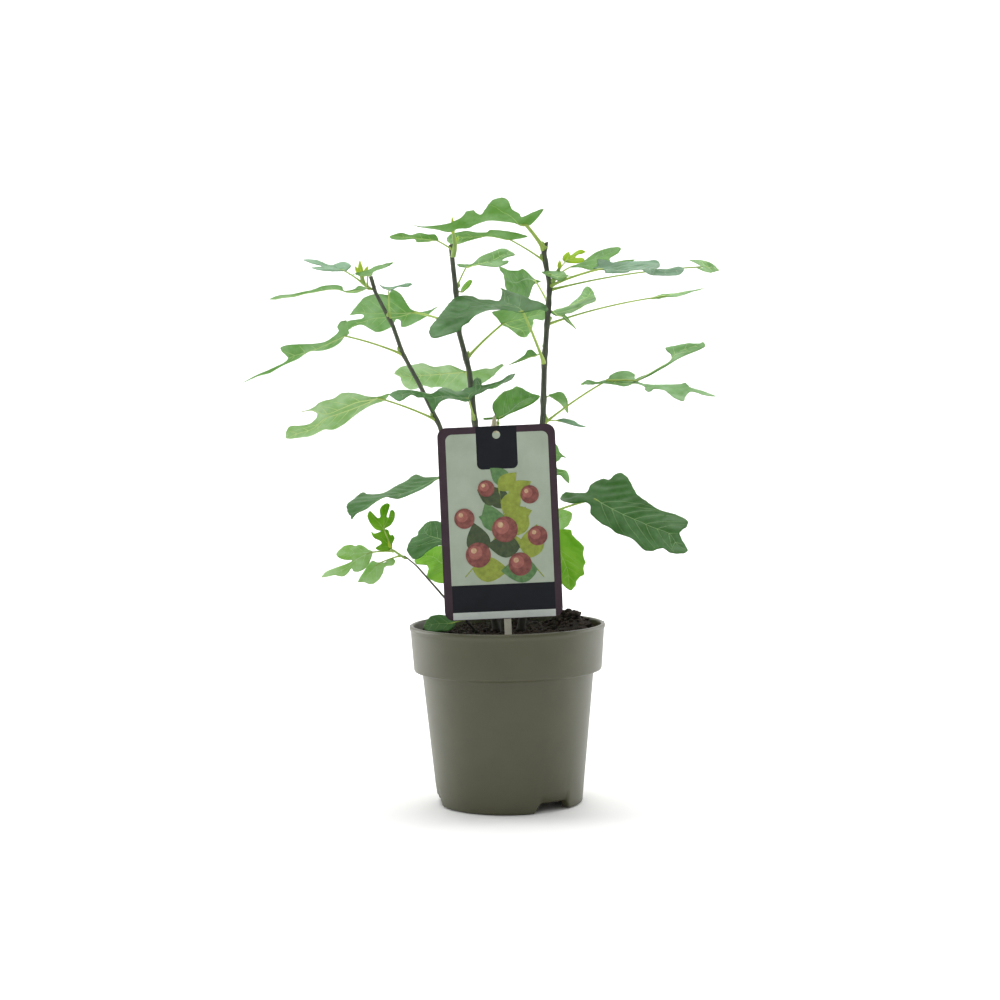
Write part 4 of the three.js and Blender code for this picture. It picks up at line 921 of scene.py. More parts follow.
@dataclass(frozen=True)
class Leaf:
    """One leaf: where it stands, its stalk, its blade and how it hangs.

    Attributes:
        node: The node that it belongs to.
        on: The limb that bears it.
        at: The height on the limb.
        stalk: Its stalk's length, bearing and rise.
        blade: Its blade's length, heading and rise.
        roll: How far it rolls about its midrib, in degrees.
        outline: Its outline.
        tint: Its colours.
        also: A second lobe that grows from its joint.
        stout: How much thicker than usual its stalk is.
        curl: How far it curls down along its midrib, in degrees.
        fold: How far its sides fold up, in degrees.
        width: How wide it is for its outline.
        wave: Height of its waves as a share of its length.
    """

    node: str
    on: str
    at: float
    stalk: tuple[float, float, float]
    blade: tuple[float, float, float]
    roll: float
    outline: Outline
    tint: Tint
    also: Optional["Leaf"] = None
    stout: float = 1.0
    curl: float = 0.0
    fold: float = 0.0
    width: float = 1.0
    wave: float = 0.0


@dataclass
class Blade:
    """A leaf's blade as a bent sheet, in flat coordinates along and across its midrib.

    Attributes:
        leaf: The leaf.
        joint: Where the stalk meets the blade.
        cell: Size of the sheet's faces.
        thick: Half its thickness.
        side_angle: How far side veins lean off their rib, in degrees.
        puff: How high it swells between side veins, as a share of its length.
        groove: How deep it sinks along a rib.
        sag: How late the edge's height sets in on the way out from the joint.
        point_gap: The gap between points of the edge.
        rib_half: Half the width of a full-sized rib at its start.
        side_half: Half the width of a full-sized side vein at its start.
        vein_step: The length of a piece of a side vein.
        vein_bend: How far each piece bends towards its rib, in radians.
    """

    leaf: Leaf
    joint: Vector
    edge: list[Vector] = field(init=False)
    ribs: list[list[Vector]] = field(init=False)
    spacing: float = field(init=False)
    cell: float = 1.25
    thick: float = 0.18
    side_angle: float = 50.0
    puff: float = 0.007
    groove: float = 0.25
    sag: float = 1.6
    point_gap: float = 1.3
    rib_half: float = 0.56
    side_half: float = 0.26
    vein_step: float = 1.6
    vein_bend: float = 0.025

    def __post_init__(self) -> None:
        """Works out the edge's curve, the ribs and the blade's turn."""
        lobes = self.leaf.outline.value
        if lobes[0][0] == 0:
            lobes = tuple((-angle, *rest) for angle, *rest in reversed(lobes[1:-1])) + lobes
        knots = []
        for angle, percent, *lift in lobes:
            turn, reach = math.radians(angle), percent / 100
            side = math.sin(turn) * reach * self.leaf.width
            knots.append(Vector((math.cos(turn) * reach, side, lift[0] / 100 if lift else 0.0)))
        self.edge = self._curve(knots)
        self.spacing = 4.6 + self.length * 0.05
        self._rim = self._tree(self.edge)
        self._inward = self._normals()
        tips = self._tips([(math.atan2(k.y, k.x), math.hypot(k.x, k.y)) for k in knots])
        self.ribs = [self._rib(angle, reach) for angle, reach in tips]
        ribs = enumerate(self.ribs)
        marks = [(n, spot, run) for n, rib in ribs for spot, run in self._marks(rib)]
        self._mark_ribs = [n for n, _, _ in marks]
        self._mark_runs = [run for _, _, run in marks]
        self._marked = self._tree([spot for _, spot, _ in marks])
        heading, rise = math.radians(self.leaf.blade[1]), math.radians(self.leaf.blade[2])
        level = Matrix.Rotation(heading, 3, "Z") @ Matrix.Rotation(-rise, 3, "Y")
        self._turn = level @ Matrix.Rotation(math.radians(self.leaf.roll), 3, "X")

    @property
    def length(self) -> float:
        """The blade's length."""
        return self.leaf.blade[0]

    @staticmethod
    def _tree(spots: Sequence[Vector]) -> kdtree.KDTree:
        """Sorts flat points for quick searches.

        Args:
            spots: The points, whose heights are left out.

        Returns:
            The search tree.
        """
        tree = kdtree.KDTree(len(spots))
        for i, spot in enumerate(spots):
            tree.insert((spot.x, spot.y, 0), i)
        tree.balance()
        return tree

    def _curve(self, knots: list[Vector]) -> list[Vector]:
        """Runs a smooth closed curve with small teeth through the outline's tips and hollows.

        Args:
            knots: The tips and hollows, as shares of the length.

        Returns:
            Points of the edge in millimetres along, across and off the sheet.
        """
        edge = []
        count = len(knots)
        for i in range(count):
            before, here, after, last = (knots[(i + k) % count] for k in (-1, 0, 1, 2))
            span = (after - here).length
            fore = (after - before) * (span / max(span + (here - before).length, 1e-6))
            back = (last - here) * (span / max((last - after).length + span, 1e-6))
            parts = max(2, round(span * self.length / self.point_gap))
            for k in range(parts):
                t = k / parts
                spot = here * (2 * t**3 - 3 * t**2 + 1) + after * (3 * t**2 - 2 * t**3)
                spot += (fore * (t**3 - 2 * t**2 + t) + back * (t**3 - t**2)) * 0.85
                edge.append(spot * self.length)
        run = 0.0
        toothed = []
        for i, spot in enumerate(edge):
            run += (spot - edge[i - 1]).length if i else 0.0
            out = math.hypot(spot.x, spot.y)
            tooth = 0.16 * math.sin(run * 1.15 + self.length)
            tooth += 0.24 * noise.noise(Vector((run * 0.3, self.length, 0)))
            grow = 1 + tooth * min(1.0, out / 25) / max(out, 1.0)
            toothed.append(Vector((spot.x * grow, spot.y * grow, spot.z)))
        return toothed

    def _normals(self) -> list[Vector]:
        """Finds which way is in at each point of the edge.

        Returns:
            Flat directions.
        """
        count = len(self.edge)
        runs = [self.edge[(i + 1) % count] - self.edge[i - 1] for i in range(count)]
        sides = zip([self.edge[-1], *self.edge], self.edge)
        turn = 1 if sum(here.x * after.y - after.x * here.y for here, after in sides) > 0 else -1
        return [Vector((-run.y * turn, run.x * turn, 0)) for run in runs]

    @staticmethod
    def _tips(knots: list[tuple[float, float]]) -> list[tuple[float, float]]:
        """Picks the lobes that stand out far enough to have a rib.

        Args:
            knots: Angle in radians and reach of the tips and hollows.

        Returns:
            Angle and reach of the ribs.
        """
        tips = []
        for i, (angle, reach) in enumerate(knots):
            dips = []
            for step in (-1, 1):
                low = reach
                for k in range(1, len(knots)):
                    other = knots[(i + step * k) % len(knots)][1]
                    if other > reach:
                        break
                    low = min(low, other)
                dips.append(low)
            # Its lobe has to be long, ahead of the stalk, and clear of the hollows beside it.
            if reach > 0.3 and abs(angle) < 2.6 and reach - max(dips) > 0.09:
                tips.append((angle, reach))
        return sorted(tips)

    def _rib(self, angle: float, reach: float) -> list[Vector]:
        """Runs a rib from the joint to a lobe's tip, along the lobe's middle.

        Args:
            angle: The tip's angle from the midrib in radians.
            reach: Its distance as a share of the length.

        Returns:
            The rib's flat points.
        """
        ahead = Vector((math.cos(angle), math.sin(angle), 0))
        side = Vector((-ahead.y, ahead.x, 0))
        full = reach * self.length * 0.98
        count = max(6, int(full / 2))
        path = []
        for i in range(count + 1):
            share = i / count
            spot = ahead * (full * share)
            pull = ease((share - 0.2) / 0.4) * (1 - ease((share - 0.85) / 0.15))
            path.append(spot + side * (self._off_middle(spot, side) * pull if pull else 0.0))
        # Smooth it.
        for _ in range(6):
            path[1:-1] = [(path[i - 1] + path[i] * 2 + path[i + 1]) / 4 for i in range(1, count)]
        return path

    def _off_middle(self, spot: Vector, side: Vector) -> float:
        """Measures how far the middle of the sheet lies to one side of a point.

        Args:
            spot: A flat point.
            side: A flat direction.

        Returns:
            Millimetres along the direction, held within a tenth of the length.
        """
        hits = []
        for i, end in enumerate(self.edge):
            start = self.edge[i - 1]
            run = end - start
            cross = side.x * run.y - side.y * run.x
            if abs(cross) < 1e-9:
                continue
            gap = start - spot
            if 0 <= (gap.x * side.y - gap.y * side.x) / cross < 1:
                hits.append((gap.x * run.y - gap.y * run.x) / cross)
        hits.sort()
        spans = list(zip(hits[::2], hits[1::2]))
        if not spans:
            return 0.0
        low, high = min(spans, key=lambda pair: max(pair[0], -pair[1], 0.0))
        most = self.length * 0.1
        return min(max((low + high) / 2, -most), most)

    @staticmethod
    def _marks(rib: list[Vector]) -> list[tuple[Vector, float]]:
        """Marks a rib closely.

        Args:
            rib: Its points.

        Returns:
            Flat points and how far along the rib each lies.
        """
        marks = []
        run = 0.0
        for here, after in zip(rib, rib[1:]):
            for k in range(4):
                marks.append((here.lerp(after, k / 4), run + (after - here).length * k / 4))
            run += (after - here).length
        return marks

    def depth(self, spot: Vector) -> float:
        """Gives how far inside the edge a flat point lies.

        Args:
            spot: The point.

        Returns:
            Millimetres, below 0 outside.
        """
        near, index, away = self._rim.find((spot.x, spot.y, 0))
        return away if (Vector((spot.x, spot.y, 0)) - near).dot(self._inward[index]) >= 0 else -away

    def _lift(self, along: float, across: float) -> float:
        """Gives how high the bent sheet stands off its plane at a flat point.

        Args:
            along: Millimetres from the joint along the midrib.
            across: Millimetres to the left of it.

        Returns:
            The height in millimetres.
        """
        # The height at the edge, blended from the nearest points of the edge.
        found = self._rim.find_n((along, across, 0), 32)
        deep, far = found[0][2], found[-1][2]
        weights = [((far - away) / (far * max(away, 0.01))) ** 2 for _, _, away in found]
        heights = (weight * self.edge[index].z for weight, (_, index, _) in zip(weights, found))
        height = sum(heights) / sum(weights)
        out = math.hypot(along, across)
        share = out / (out + deep) if out else 0.0
        return height * share**self.sag + self._relief(along, across, out, deep)

    def _relief(self, along: float, across: float, out: float, deep: float) -> float:
        """Gives how the sheet swells between its veins and sinks along its ribs.

        Args:
            along: Millimetres from the joint along the midrib.
            across: Millimetres to the left of it.
            out: The distance from the joint.
            deep: The distance from the edge.

        Returns:
            The height in millimetres.
        """
        _, index, side = self._marked.find((along, across, 0))
        back = side / math.tan(math.radians(self.side_angle))
        phase = (self._mark_runs[index] - back) / self.spacing
        swell = 0.5 - 0.5 * math.cos(math.tau * (phase - 0.5))
        tall = self.puff * self.length * ease(side / 4) * ease(deep / 5) * ease(out / 10)
        sunk = self.groove * math.exp(-((side / 1.4) ** 2)) * ease(out / 6) * ease(deep / 3)
        ripple = noise.noise(Vector((along * 0.07, across * 0.07, self.length)))
        return tall * (swell - 0.3) - sunk + 0.7 * ripple * ease(out / 12)

    def spot(self, along: float, across: float) -> Vector:
        """Gives the place of a flat point on the bent blade.

        Args:
            along: Millimetres from the joint along the midrib.
            across: Millimetres to the left of it.

        Returns:
            The place.
        """
        fold = math.radians(self.leaf.fold)
        out = math.hypot(along, across) / self.length
        angle = math.atan2(across, along)
        bend = (math.radians(self.leaf.curl) or 1e-6) / self.length
        forward = math.sin(bend * along) / bend
        drop = (1 - math.cos(bend * along)) / bend
        wave = self.leaf.wave * self.length * out * out * math.sin(3 * angle + self.length)
        height = abs(across) * math.sin(fold) - drop + wave + self._lift(along, across)
        flat = Vector((forward, across * math.cos(fold), height))
        return self.joint + self._turn @ flat

    def normal(self, along: float, across: float) -> Vector:
        """Gives the bent sheet's upward normal at a flat point.

        Args:
            along: Millimetres from the joint along the midrib.
            across: Millimetres to the left of it.

        Returns:
            The normal.
        """
        step = 0.6
        near = ((along, across), (along + step, across), (along, across + step))
        here, ahead, aside = (self.spot(*flat) for flat in near)
        return (ahead - here).cross(aside - here).normalized()

    def vein_paths(self) -> list[tuple[list[Vector], float]]:
        """Draws the ribs, and the side veins that leave them.

        Returns:
            Each vein's flat points and its half width at its start.
        """
        size = math.sqrt(self.length / FULL_BLADE)
        paths = []
        for n, rib in enumerate(self.ribs):
            ends = [i for i in range(len(rib)) if self.depth(rib[i]) < 0.3 and i > 2]
            inside = rib[: ends[0]] if ends else rib
            paths.append((inside, self.rib_half * size))
            run, due = 0.0, self.spacing * 0.6
            for here, after in zip(inside, inside[1:]):
                step = (after - here).length
                while run + step >= due and step:
                    start = here.lerp(after, (due - run) / step)
                    for turn in (-1, 1):
                        path = self._side_vein(start, (after - here).normalized(), turn, n)
                        if len(path) > 2:
                            paths.append((path, self.side_half * size))
                    due += self.spacing
                run += step
        return paths

    def _side_vein(self, start: Vector, ahead: Vector, turn: int, rib: int) -> list[Vector]:
        """Draws one side vein until it nears the edge or the next rib's ground.

        Args:
            start: Where it leaves its rib.
            ahead: The rib's direction there.
            turn: 1 to the left and -1 to the right.
            rib: The rib's number.

        Returns:
            Its flat points.
        """
        spot = start.copy()
        path = [start]
        lean = math.radians(self.side_angle) * turn
        for _ in range(24):
            spot = spot + Matrix.Rotation(lean, 3, "Z") @ ahead * self.vein_step
            lean -= self.vein_bend * turn
            nearest = self._mark_ribs[self._marked.find((spot.x, spot.y, 0))[1]]
            if nearest != rib or self.depth(spot) < 0.9:
                break
            path.append(spot)
        return path


@dataclass
class Foliage(Maker):
    """Builds the leaves of one part of the crown as joined pieces, each kind apart.

    Attributes:
        name: What the pieces' names start with.
        slot: A name handed on to each piece's finish.
        leaves: The leaves.
    """

    name: str
    slot: str
    leaves: list[Leaf]

    def __post_init__(self) -> None:
        """Starts the three joined pieces."""
        self._blades = Sculpture(f"{self.name}_blades")
        self._veins = Sculpture(f"{self.name}_veins")
        self._stalks = Sculpture(f"{self.name}_stalks")

    def build(self) -> None:
        """Models the blades, the veins and the stalks."""
        for leaf in self.leaves:
            limb = LIMBS[leaf.on]
            centre = limb.centre(leaf.at)
            way = toward(*leaf.stalk[1:])
            joint = centre + way * leaf.stalk[0]
            self._leaf(leaf, centre + way * (limb.radius(leaf.at) * ROOTED), joint)
            if leaf.also:
                reach = toward(*leaf.also.stalk[1:]) * leaf.also.stalk[0]
                self._leaf(leaf.also, joint, joint + reach)
        self._blades.finish(self.shop, self.slot, *sorted({leaf.node for leaf in self.leaves}))
        self._veins.finish(self.shop, self.slot)
        self._stalks.finish(self.shop, self.slot)

    def _leaf(self, leaf: Leaf, foot: Vector, joint: Vector) -> None:
        """Models one leaf.

        Args:
            leaf: The leaf.
            foot: Where its stalk starts.
            joint: Where its blade starts.
        """
        blade = Blade(leaf, joint)
        self._sheet(blade)
        for path, width in blade.vein_paths():
            self._vein(blade, path, width)
        self._stalk(leaf, foot, joint)

    def _sheet(self, blade: Blade) -> None:
        """Models the blade as a closed sheet with an upper and a lower side that meet at its edge.

        Args:
            blade: The blade.
        """
        top, under, _ = blade.leaf.tint.value
        sheet = Sculpture("sheet")
        mesh = sheet.mesh
        rim = [mesh.verts.new((spot.x, spot.y, 0)) for spot in blade.edge]
        loop = [mesh.edges.new((rim[i - 1], vert)) for i, vert in enumerate(rim)]
        bmesh.ops.contextual_create(mesh, geom=loop)
        for axis in (0, 1):
            values = [spot[axis] for spot in blade.edge]
            normal = Vector((1 - axis, axis, 0))
            first, last = (bound / blade.cell for bound in (min(values), max(values)))
            for k in range(math.ceil(first), math.floor(last) + 1):
                everything = [*mesh.verts, *mesh.edges, *mesh.faces]
                # A share of a cell keeps the cuts off the midrib.
                middle = normal * ((k + 0.37) * blade.cell)
                bmesh.ops.bisect_plane(
                    mesh, geom=everything, dist=WELD, plane_co=middle, plane_no=normal
                )
        upper = list(mesh.verts)
        rims = [vert.is_boundary for vert in upper]
        flats = [(vert.co.x, vert.co.y) for vert in upper]
        copy = bmesh.ops.duplicate(mesh, geom=[*mesh.verts, *mesh.edges, *mesh.faces])
        lower = [copy["vert_map"][vert] for vert in upper]
        sheet.paint([item for item in copy["geom"] if isinstance(item, bmesh.types.BMFace)], under)
        sheet.paint(faces_of(upper), top)
        mesh.normal_update()
        outward = math.copysign(blade.thick, upper[0].link_faces[0].normal.z)
        for vert, flat in zip(upper, flats):
            vert.co = blade.spot(*flat)
        mesh.normal_update()
        for over, beneath, rim in zip(upper, lower, rims):
            beneath.co = over.co
            if not rim:
                half = over.normal * outward
                over.co += half
                beneath.co -= half
        bmesh.ops.remove_doubles(mesh, verts=mesh.verts, dist=WELD)
        self._blades.absorb(sheet)

    def _vein(self, blade: Blade, path: list[Vector], width: float) -> None:
        """Models a vein as a thin tapering ridge, mostly under the sheet.

        Args:
            blade: The blade.
            path: Its flat points.
            width: Its half width at its start.
        """
        sides = 6
        last = len(path) - 1
        surface = blade.leaf.tint.value[2]
        middles = [blade.spot(flat.x, flat.y) for flat in path]
        frames = []
        for i, flat in enumerate(path):
            run = middles[min(i + 1, last)] - middles[max(i - 1, 0)]
            out = blade.normal(flat.x, flat.y)
            frames.append((out.cross(run).normalized(), out))

        def place(column: int, row: int) -> Vector:
            """Gives a point of the ridge, or of the middle of an end."""
            i = min(max(row - 1, 0), last)
            aside, out = frames[i]
            half = width * (1 - 0.72 * i / last)
            if row in (0, last + 2):
                return middles[i] - out * (half * 0.5)
            angle = math.tau * column / sides
            rise = math.sin(angle)
            tall = blade.thick + (0.1 * half + 0.08 if rise > 0 else 0.9 * half)
            return middles[i] + aside * (math.cos(angle) * half) + out * (tall * rise)

        self._veins.wrap(sides, last + 2, place, lambda row: surface)

    def _stalk(self, leaf: Leaf, foot: Vector, joint: Vector) -> None:
        """Models a stalk from its limb into its blade.

        Args:
            leaf: The leaf.
            foot: Where it starts.
            joint: Where its blade starts.
        """
        middle = (foot + joint) / 2
        middle.z += (joint - foot).length * 0.05
        end = joint + toward(*leaf.blade[1:]) * SUNK
        count = max(8, int((joint - foot).length / 1.5))
        spots = [
            foot * (1 - share) ** 2 + middle * (2 * share * (1 - share)) + joint * share**2
            for share in (i / count for i in range(count + 1))
        ]
        spots += [joint.lerp(end, 0.5), end]
        thin = (0.62 + 0.38 * min(1.0, leaf.blade[0] / FULL_BLADE)) * leaf.stout
        shares = (i / (len(spots) - 1) for i in range(len(spots)))
        radii = [(0.74 - 0.16 * share + 0.7 * math.exp(-share * 14)) * thin for share in shares]
        radii[-1] *= 0.6
        self._stalks.tube(spots, radii, 12, Surface.STALK)


LEAVES: list[Leaf] = [
    Leaf("left_tip_leaves", "left_twig", 346,
         (15.5, 191, 34), (30, 168, 16), -24, Outline.FORK, Tint.BLUE),
    Leaf("left_tip_leaves", "left_twig", 344,
         (16, 276, 23), (31, 308, 13), 1, Outline.GULL, Tint.SOFT),
    Leaf("left_tip_leaves", "left_twig", 343,
         (17, 257, -7), (64, 204, -6), 20, Outline.RIBBON, Tint.SOFT),
    Leaf("leaf_left_4", "left", 321, (21.5, 269, 68), (27, 55, 10), 16, Outline.WISP, Tint.BLUE),
    Leaf("leaf_left_6", "left", 298, (41.5, 193, 18), (79, 206, -23), 40, Outline.LANCE, Tint.SOFT),
    Leaf("leaf_left_7", "left", 254,
         (43, 195, 21), (65, 193, -20), 40, Outline.FISHTAIL, Tint.PALE),
    Leaf("leaf_middle_3", "middle", 339, (23, 66, 43), (43, 38, 13), 30, Outline.HEEL, Tint.MID),
    Leaf("middle_tip_leaves", "middle_twig", 364,
         (13.5, 190, 31), (32, 202, 4), 20, Outline.STRIP, Tint.MID),
    Leaf("leaf_middle_5", "middle", 315,
         (52.5, 128, 13), (48, 168, -9), 50, Outline.BROAD, Tint.SOFT, stout=1.35),
    Leaf("leaf_middle_8", "middle", 270,
         (36.5, 97, 26), (52, 162, 0), 44, Outline.VEIL, Tint.PALE, stout=1.2),
    Leaf("leaf_middle_9", "middle", 253,
         (26, 260, 35), (59, 213, 3), -31, Outline.SWEEP, Tint.DEEP),
    Leaf("leaf_middle_1", "middle", 294,
         (40, 37, 37), (33, 63, -16), -26, Outline.APRON, Tint.MID, stout=1.5),
    Leaf("leaf_middle_young", "middle", 338,
         (4, 16, -4), (25, 73, 20), 15, Outline.SPINDLE, Tint.FRESH),
    Leaf("leaf_right_2", "right", 290,
         (46, 243, 47), (66, 202, -12), -33, Outline.BENT, Tint.DEEP, stout=1.35),
    Leaf("leaf_right_4", "right", 329, (26, 115, 41), (56, 111, 2), -75, Outline.KITE, Tint.VIVID),
    Leaf("leaf_right_5", "right", 298, (12, 120, -11), (23, 153, -15), -57, Outline.DRIP, Tint.MID),
    Leaf("leaf_right_tip_1", "right", 365,
         (23, 224, 42), (79, 202, -1), 33, Outline.CROWN, Tint.MID, stout=1.9),
    Leaf("leaf_right_tip_2", "right", 357,
         (28, 186, 32), (42, 169, 2), 22, Outline.SADDLE, Tint.MID),
    Leaf("right_tip_leaves", "right_twig", 347,
         (19, 50, 23), (38, 19, 19), 19, Outline.PADDLE, Tint.VIVID),
    Leaf("leaf_right_7", "right", 341,
         (38.5, 329, 14), (60, 330, -3), 13, Outline.TWIN, Tint.SLATE, stout=1.2),
    Leaf("leaf_right_8", "right", 338.5,
         (109.5, 13, 8), (32, 67, -1), 30, Outline.PINCER, Tint.PALE),
    Leaf("leaf_right_9", "right", 316, (94, 25, 12), (41, 48, 9), -2, Outline.SLIVER, Tint.MID),
    Leaf("leaf_right_10", "right", 250, (53, 338, 32), (73, 345, -9), 20, Outline.CUT, Tint.SOFT,
         Leaf("leaf_right_10", "right", 0,
              (19.5, 351, -1), (52, 11, 25), 41, Outline.TAIL, Tint.SOFT)),
    Leaf("leaf_right_11", "right", 325, (8.5, 68, -2), (50, 53, 18), -5, Outline.WING, Tint.MID),
    Leaf("leaf_right_12", "right", 266, (16.5, 74, 11), (27, 57, -28), 20, Outline.HOOK, Tint.MID),
    Leaf("leaf_right_13", "right", 252, (14.5, 49, 1), (21, 11, -12), 39, Outline.BLADE, Tint.BLUE),
    Leaf("right_tip_leaves", "right_twig", 350,
         (11, 47, 42), (15, 9, 25), 50, Outline.CLAW, Tint.YOUNG),
    Leaf("right_tip_leaves", "right_twig", 345.5,
         (10, 248, 16), (29, 305, -7), 10, Outline.DART, Tint.MID),
    Leaf("leaf_back_high", "back", 247, (8.5, 13, 68), (37, 35, 22), 40, Outline.DROP, Tint.VIVID),
    Leaf("leaf_low_1", "left", 200, (28.5, 226, 34), (67, 204, -18), -17, Outline.RAMP, Tint.DEEP),
    Leaf("leaf_low_7", "right", 187,
         (48.5, 326, 17), (70, 341, -28), 35, Outline.SHIELD, Tint.DARK, stout=1.15),
    Leaf("leaf_low_3", "left", 160,
         (28, 158, 25), (38, 139, 4), -40, Outline.ROUND_LOBES, Tint.DARK),
    Leaf("leaf_low_4", "left", 147,
         (32, 139, 16), (40, 131, 4), -44, Outline.TWO_LOBES, Tint.FRESH),
    Leaf("leaf_low_5", "right", 220, (23, 76, 24), (22, 25, -10), 55, Outline.SPUR, Tint.MID),
    Leaf("leaf_low_6", "right", 200, (28, 78, 23), (24, 25, -8), 55, Outline.CROOK, Tint.MID),
    Leaf("leaf_low_8", "right", 167, (29.5, 65, 35), (25, 20, 2), 55, Outline.DISC, Tint.LIGHT),
    Leaf("leaf_low_9", "right", 160,
         (24.5, 326, 26), (33, 297, -61), -5, Outline.SCALLOP, Tint.FRESH),
    Leaf("leaf_on_soil", "low", 122,
         (10, 215, -8), (20, 200, -4), -50, Outline.LOW_LOBE, Tint.DARK),
    Leaf("low_tip_leaves", "low_twig", 170.5,
         (14, 160, 67), (18, 69, 69), 10, Outline.TRIDENT, Tint.FRESH),
    Leaf("low_tip_leaves", "low_twig", 170.5,
         (1.5, 199, 72), (17, 171, 39), -45, Outline.FRILL, Tint.FRESH),
    Leaf("low_tip_leaves", "low_twig", 169,
         (16, 182, -2), (37, 204, -23), -35, Outline.THUMB, Tint.LIGHT),
    Leaf("low_tip_leaves", "low_twig", 166,
         (15, 195, -17), (19, 203, -37), -35, Outline.SPOON, Tint.LIGHT),
]

# The leaves of the low back: (limb, height on it, bearing, stalk length).
LOW_BACK = (
    ("back", 124, 100, 36), ("right", 142, 92, 40), ("back", 158, 97, 46), ("back", 178, 92, 36),
    ("back", 198, 100, 44), ("back", 216, 88, 34), ("back", 234, 104, 30),
)
LOW_BACK_LOOKS = ((Outline.HAND, Tint.MID), (Outline.MITTEN, Tint.DEEP), (Outline.WIDE, Tint.SOFT))


def low_back_leaves() -> list[Leaf]:
    """Lays out the leaves of the low back, which differ in length, outline and tint by turns.

    Returns:
        The leaves.
    """
    return [
        Leaf(
            f"leaf_back_{i + 1}", limb, height, (stalk, bearing, 18),
            (46 + 6 * (i % 2), bearing, -2), 0, *LOW_BACK_LOOKS[i % 3],
            curl=16, fold=8, width=0.9, wave=0.05,
        )
        for i, (limb, height, bearing, stalk) in enumerate(LOW_BACK)
    ]


@dataclass(frozen=True)
class Bud:
    """A pointed bud.

    Attributes:
        foot: Where it starts.
        length: Its length.
        radius: Its widest radius.
        lean: Its bearing and rise.
        surface: Its finish.
    """

    foot: tuple[float, float, float]
    length: float
    radius: float
    lean: tuple[float, float]
    surface: Surface = Surface.BUD


BUDS = (
    Bud((-94, 20, 352), 9.5, 1.7, (180, 86)),
    Bud((-94.4, 20, 351), 7.5, 1.4, (180, 62)),
    Bud((-92.6, 20, 350.5), 8, 1.4, (0, 64)),
    Bud((-31.2, -16, 375), 11, 1.4, (180, 88)),
    Bud((-29.6, -15, 368), 6, 1.2, (20, 74)),
    Bud((38, -2.7, 352.5), 5.5, 1.4, (60, 84)),
    Bud((-75.5, -18, 170), 6, 1.2, (160, 75)),
    # The pale cut stub on top of the back stem.
    Bud((-6.5, 20, 236), 20.5, 2.9, (0, 90), Surface.CUT_WOOD),
)


class Buds(Maker):
    """The buds at the tips and in the leaves' axils."""

    def build(self, leaves: list[Leaf]) -> None:
        """Models every bud in one joined mesh.

        Args:
            leaves: The leaves whose axils hold a small bud.
        """
        buds = Sculpture("buds")
        for bud in BUDS:
            self._bud(buds, bud)
        for leaf in leaves:
            if leaf.on in PRUNED:
                limb, bearing = LIMBS[leaf.on], leaf.stalk[1]
                foot = limb.centre(leaf.at + 2.4) + toward(bearing, 0) * limb.radius(leaf.at)
                self._bud(buds, Bud(tuple(foot), 3.2, 1.0, (bearing, 68), Surface.GREEN_BARK))
        buds.finish(self.shop, "young_leaf")

    @staticmethod
    def _bud(buds: Sculpture, bud: Bud) -> None:
        """Models one bud as a drop with two overlapping scales' edges.

        Args:
            buds: The joined mesh.
            bud: The bud.
        """
        shares = [i / 12 for i in range(13)]
        spots = [Vector(bud.foot) + toward(*bud.lean) * (bud.length * share) for share in shares]
        swells = (math.sin(math.pi * (0.18 + 0.8 * share)) ** 0.8 + 0.03 for share in shares)

        def scales(angle: float, share: float) -> float:
            """Swells the bud along its two scales, which wind round it."""
            return 1 + 0.1 * math.cos(2 * angle + 4 * share)

        buds.tube(spots, [bud.radius * swell for swell in swells], 14, bud.surface, scales)


# ---------------------------------------------------------------- pot and soil


# The pot's section from its middle, round its foot and lip and back inside: (radius, height).
POT_SECTION = (
    (0, 7), (41, 7), (42, 6.6), (42.4, 6), (42.8, 0.5), (43.3, 0), (47.4, 0), (48.1, 0.3),
    (48.45, 1), (48.6, 3), (49.6, 13), (51.6, 33), (53.6, 53), (55.6, 73), (56.7, 84), (56.9, 86.2),
    (57.3, 87.1), (58.4, 87.7), (60.6, 87.9), (61.8, 88.1), (62.3, 88.7), (62.5, 90), (63.1, 98),
    (63.7, 106), (64.2, 113.6), (64.35, 115.1), (64.8, 115.6), (64.98, 116.4), (64.98, 117.4),
    (64.6, 118.2), (63.9, 118.5), (62.9, 118.45), (62.4, 118), (62.2, 117), (61.5, 106),
    (60.6, 92), (57.5, 89.6), (55.4, 86), (47.2, 9.2), (0, 9.2),
)


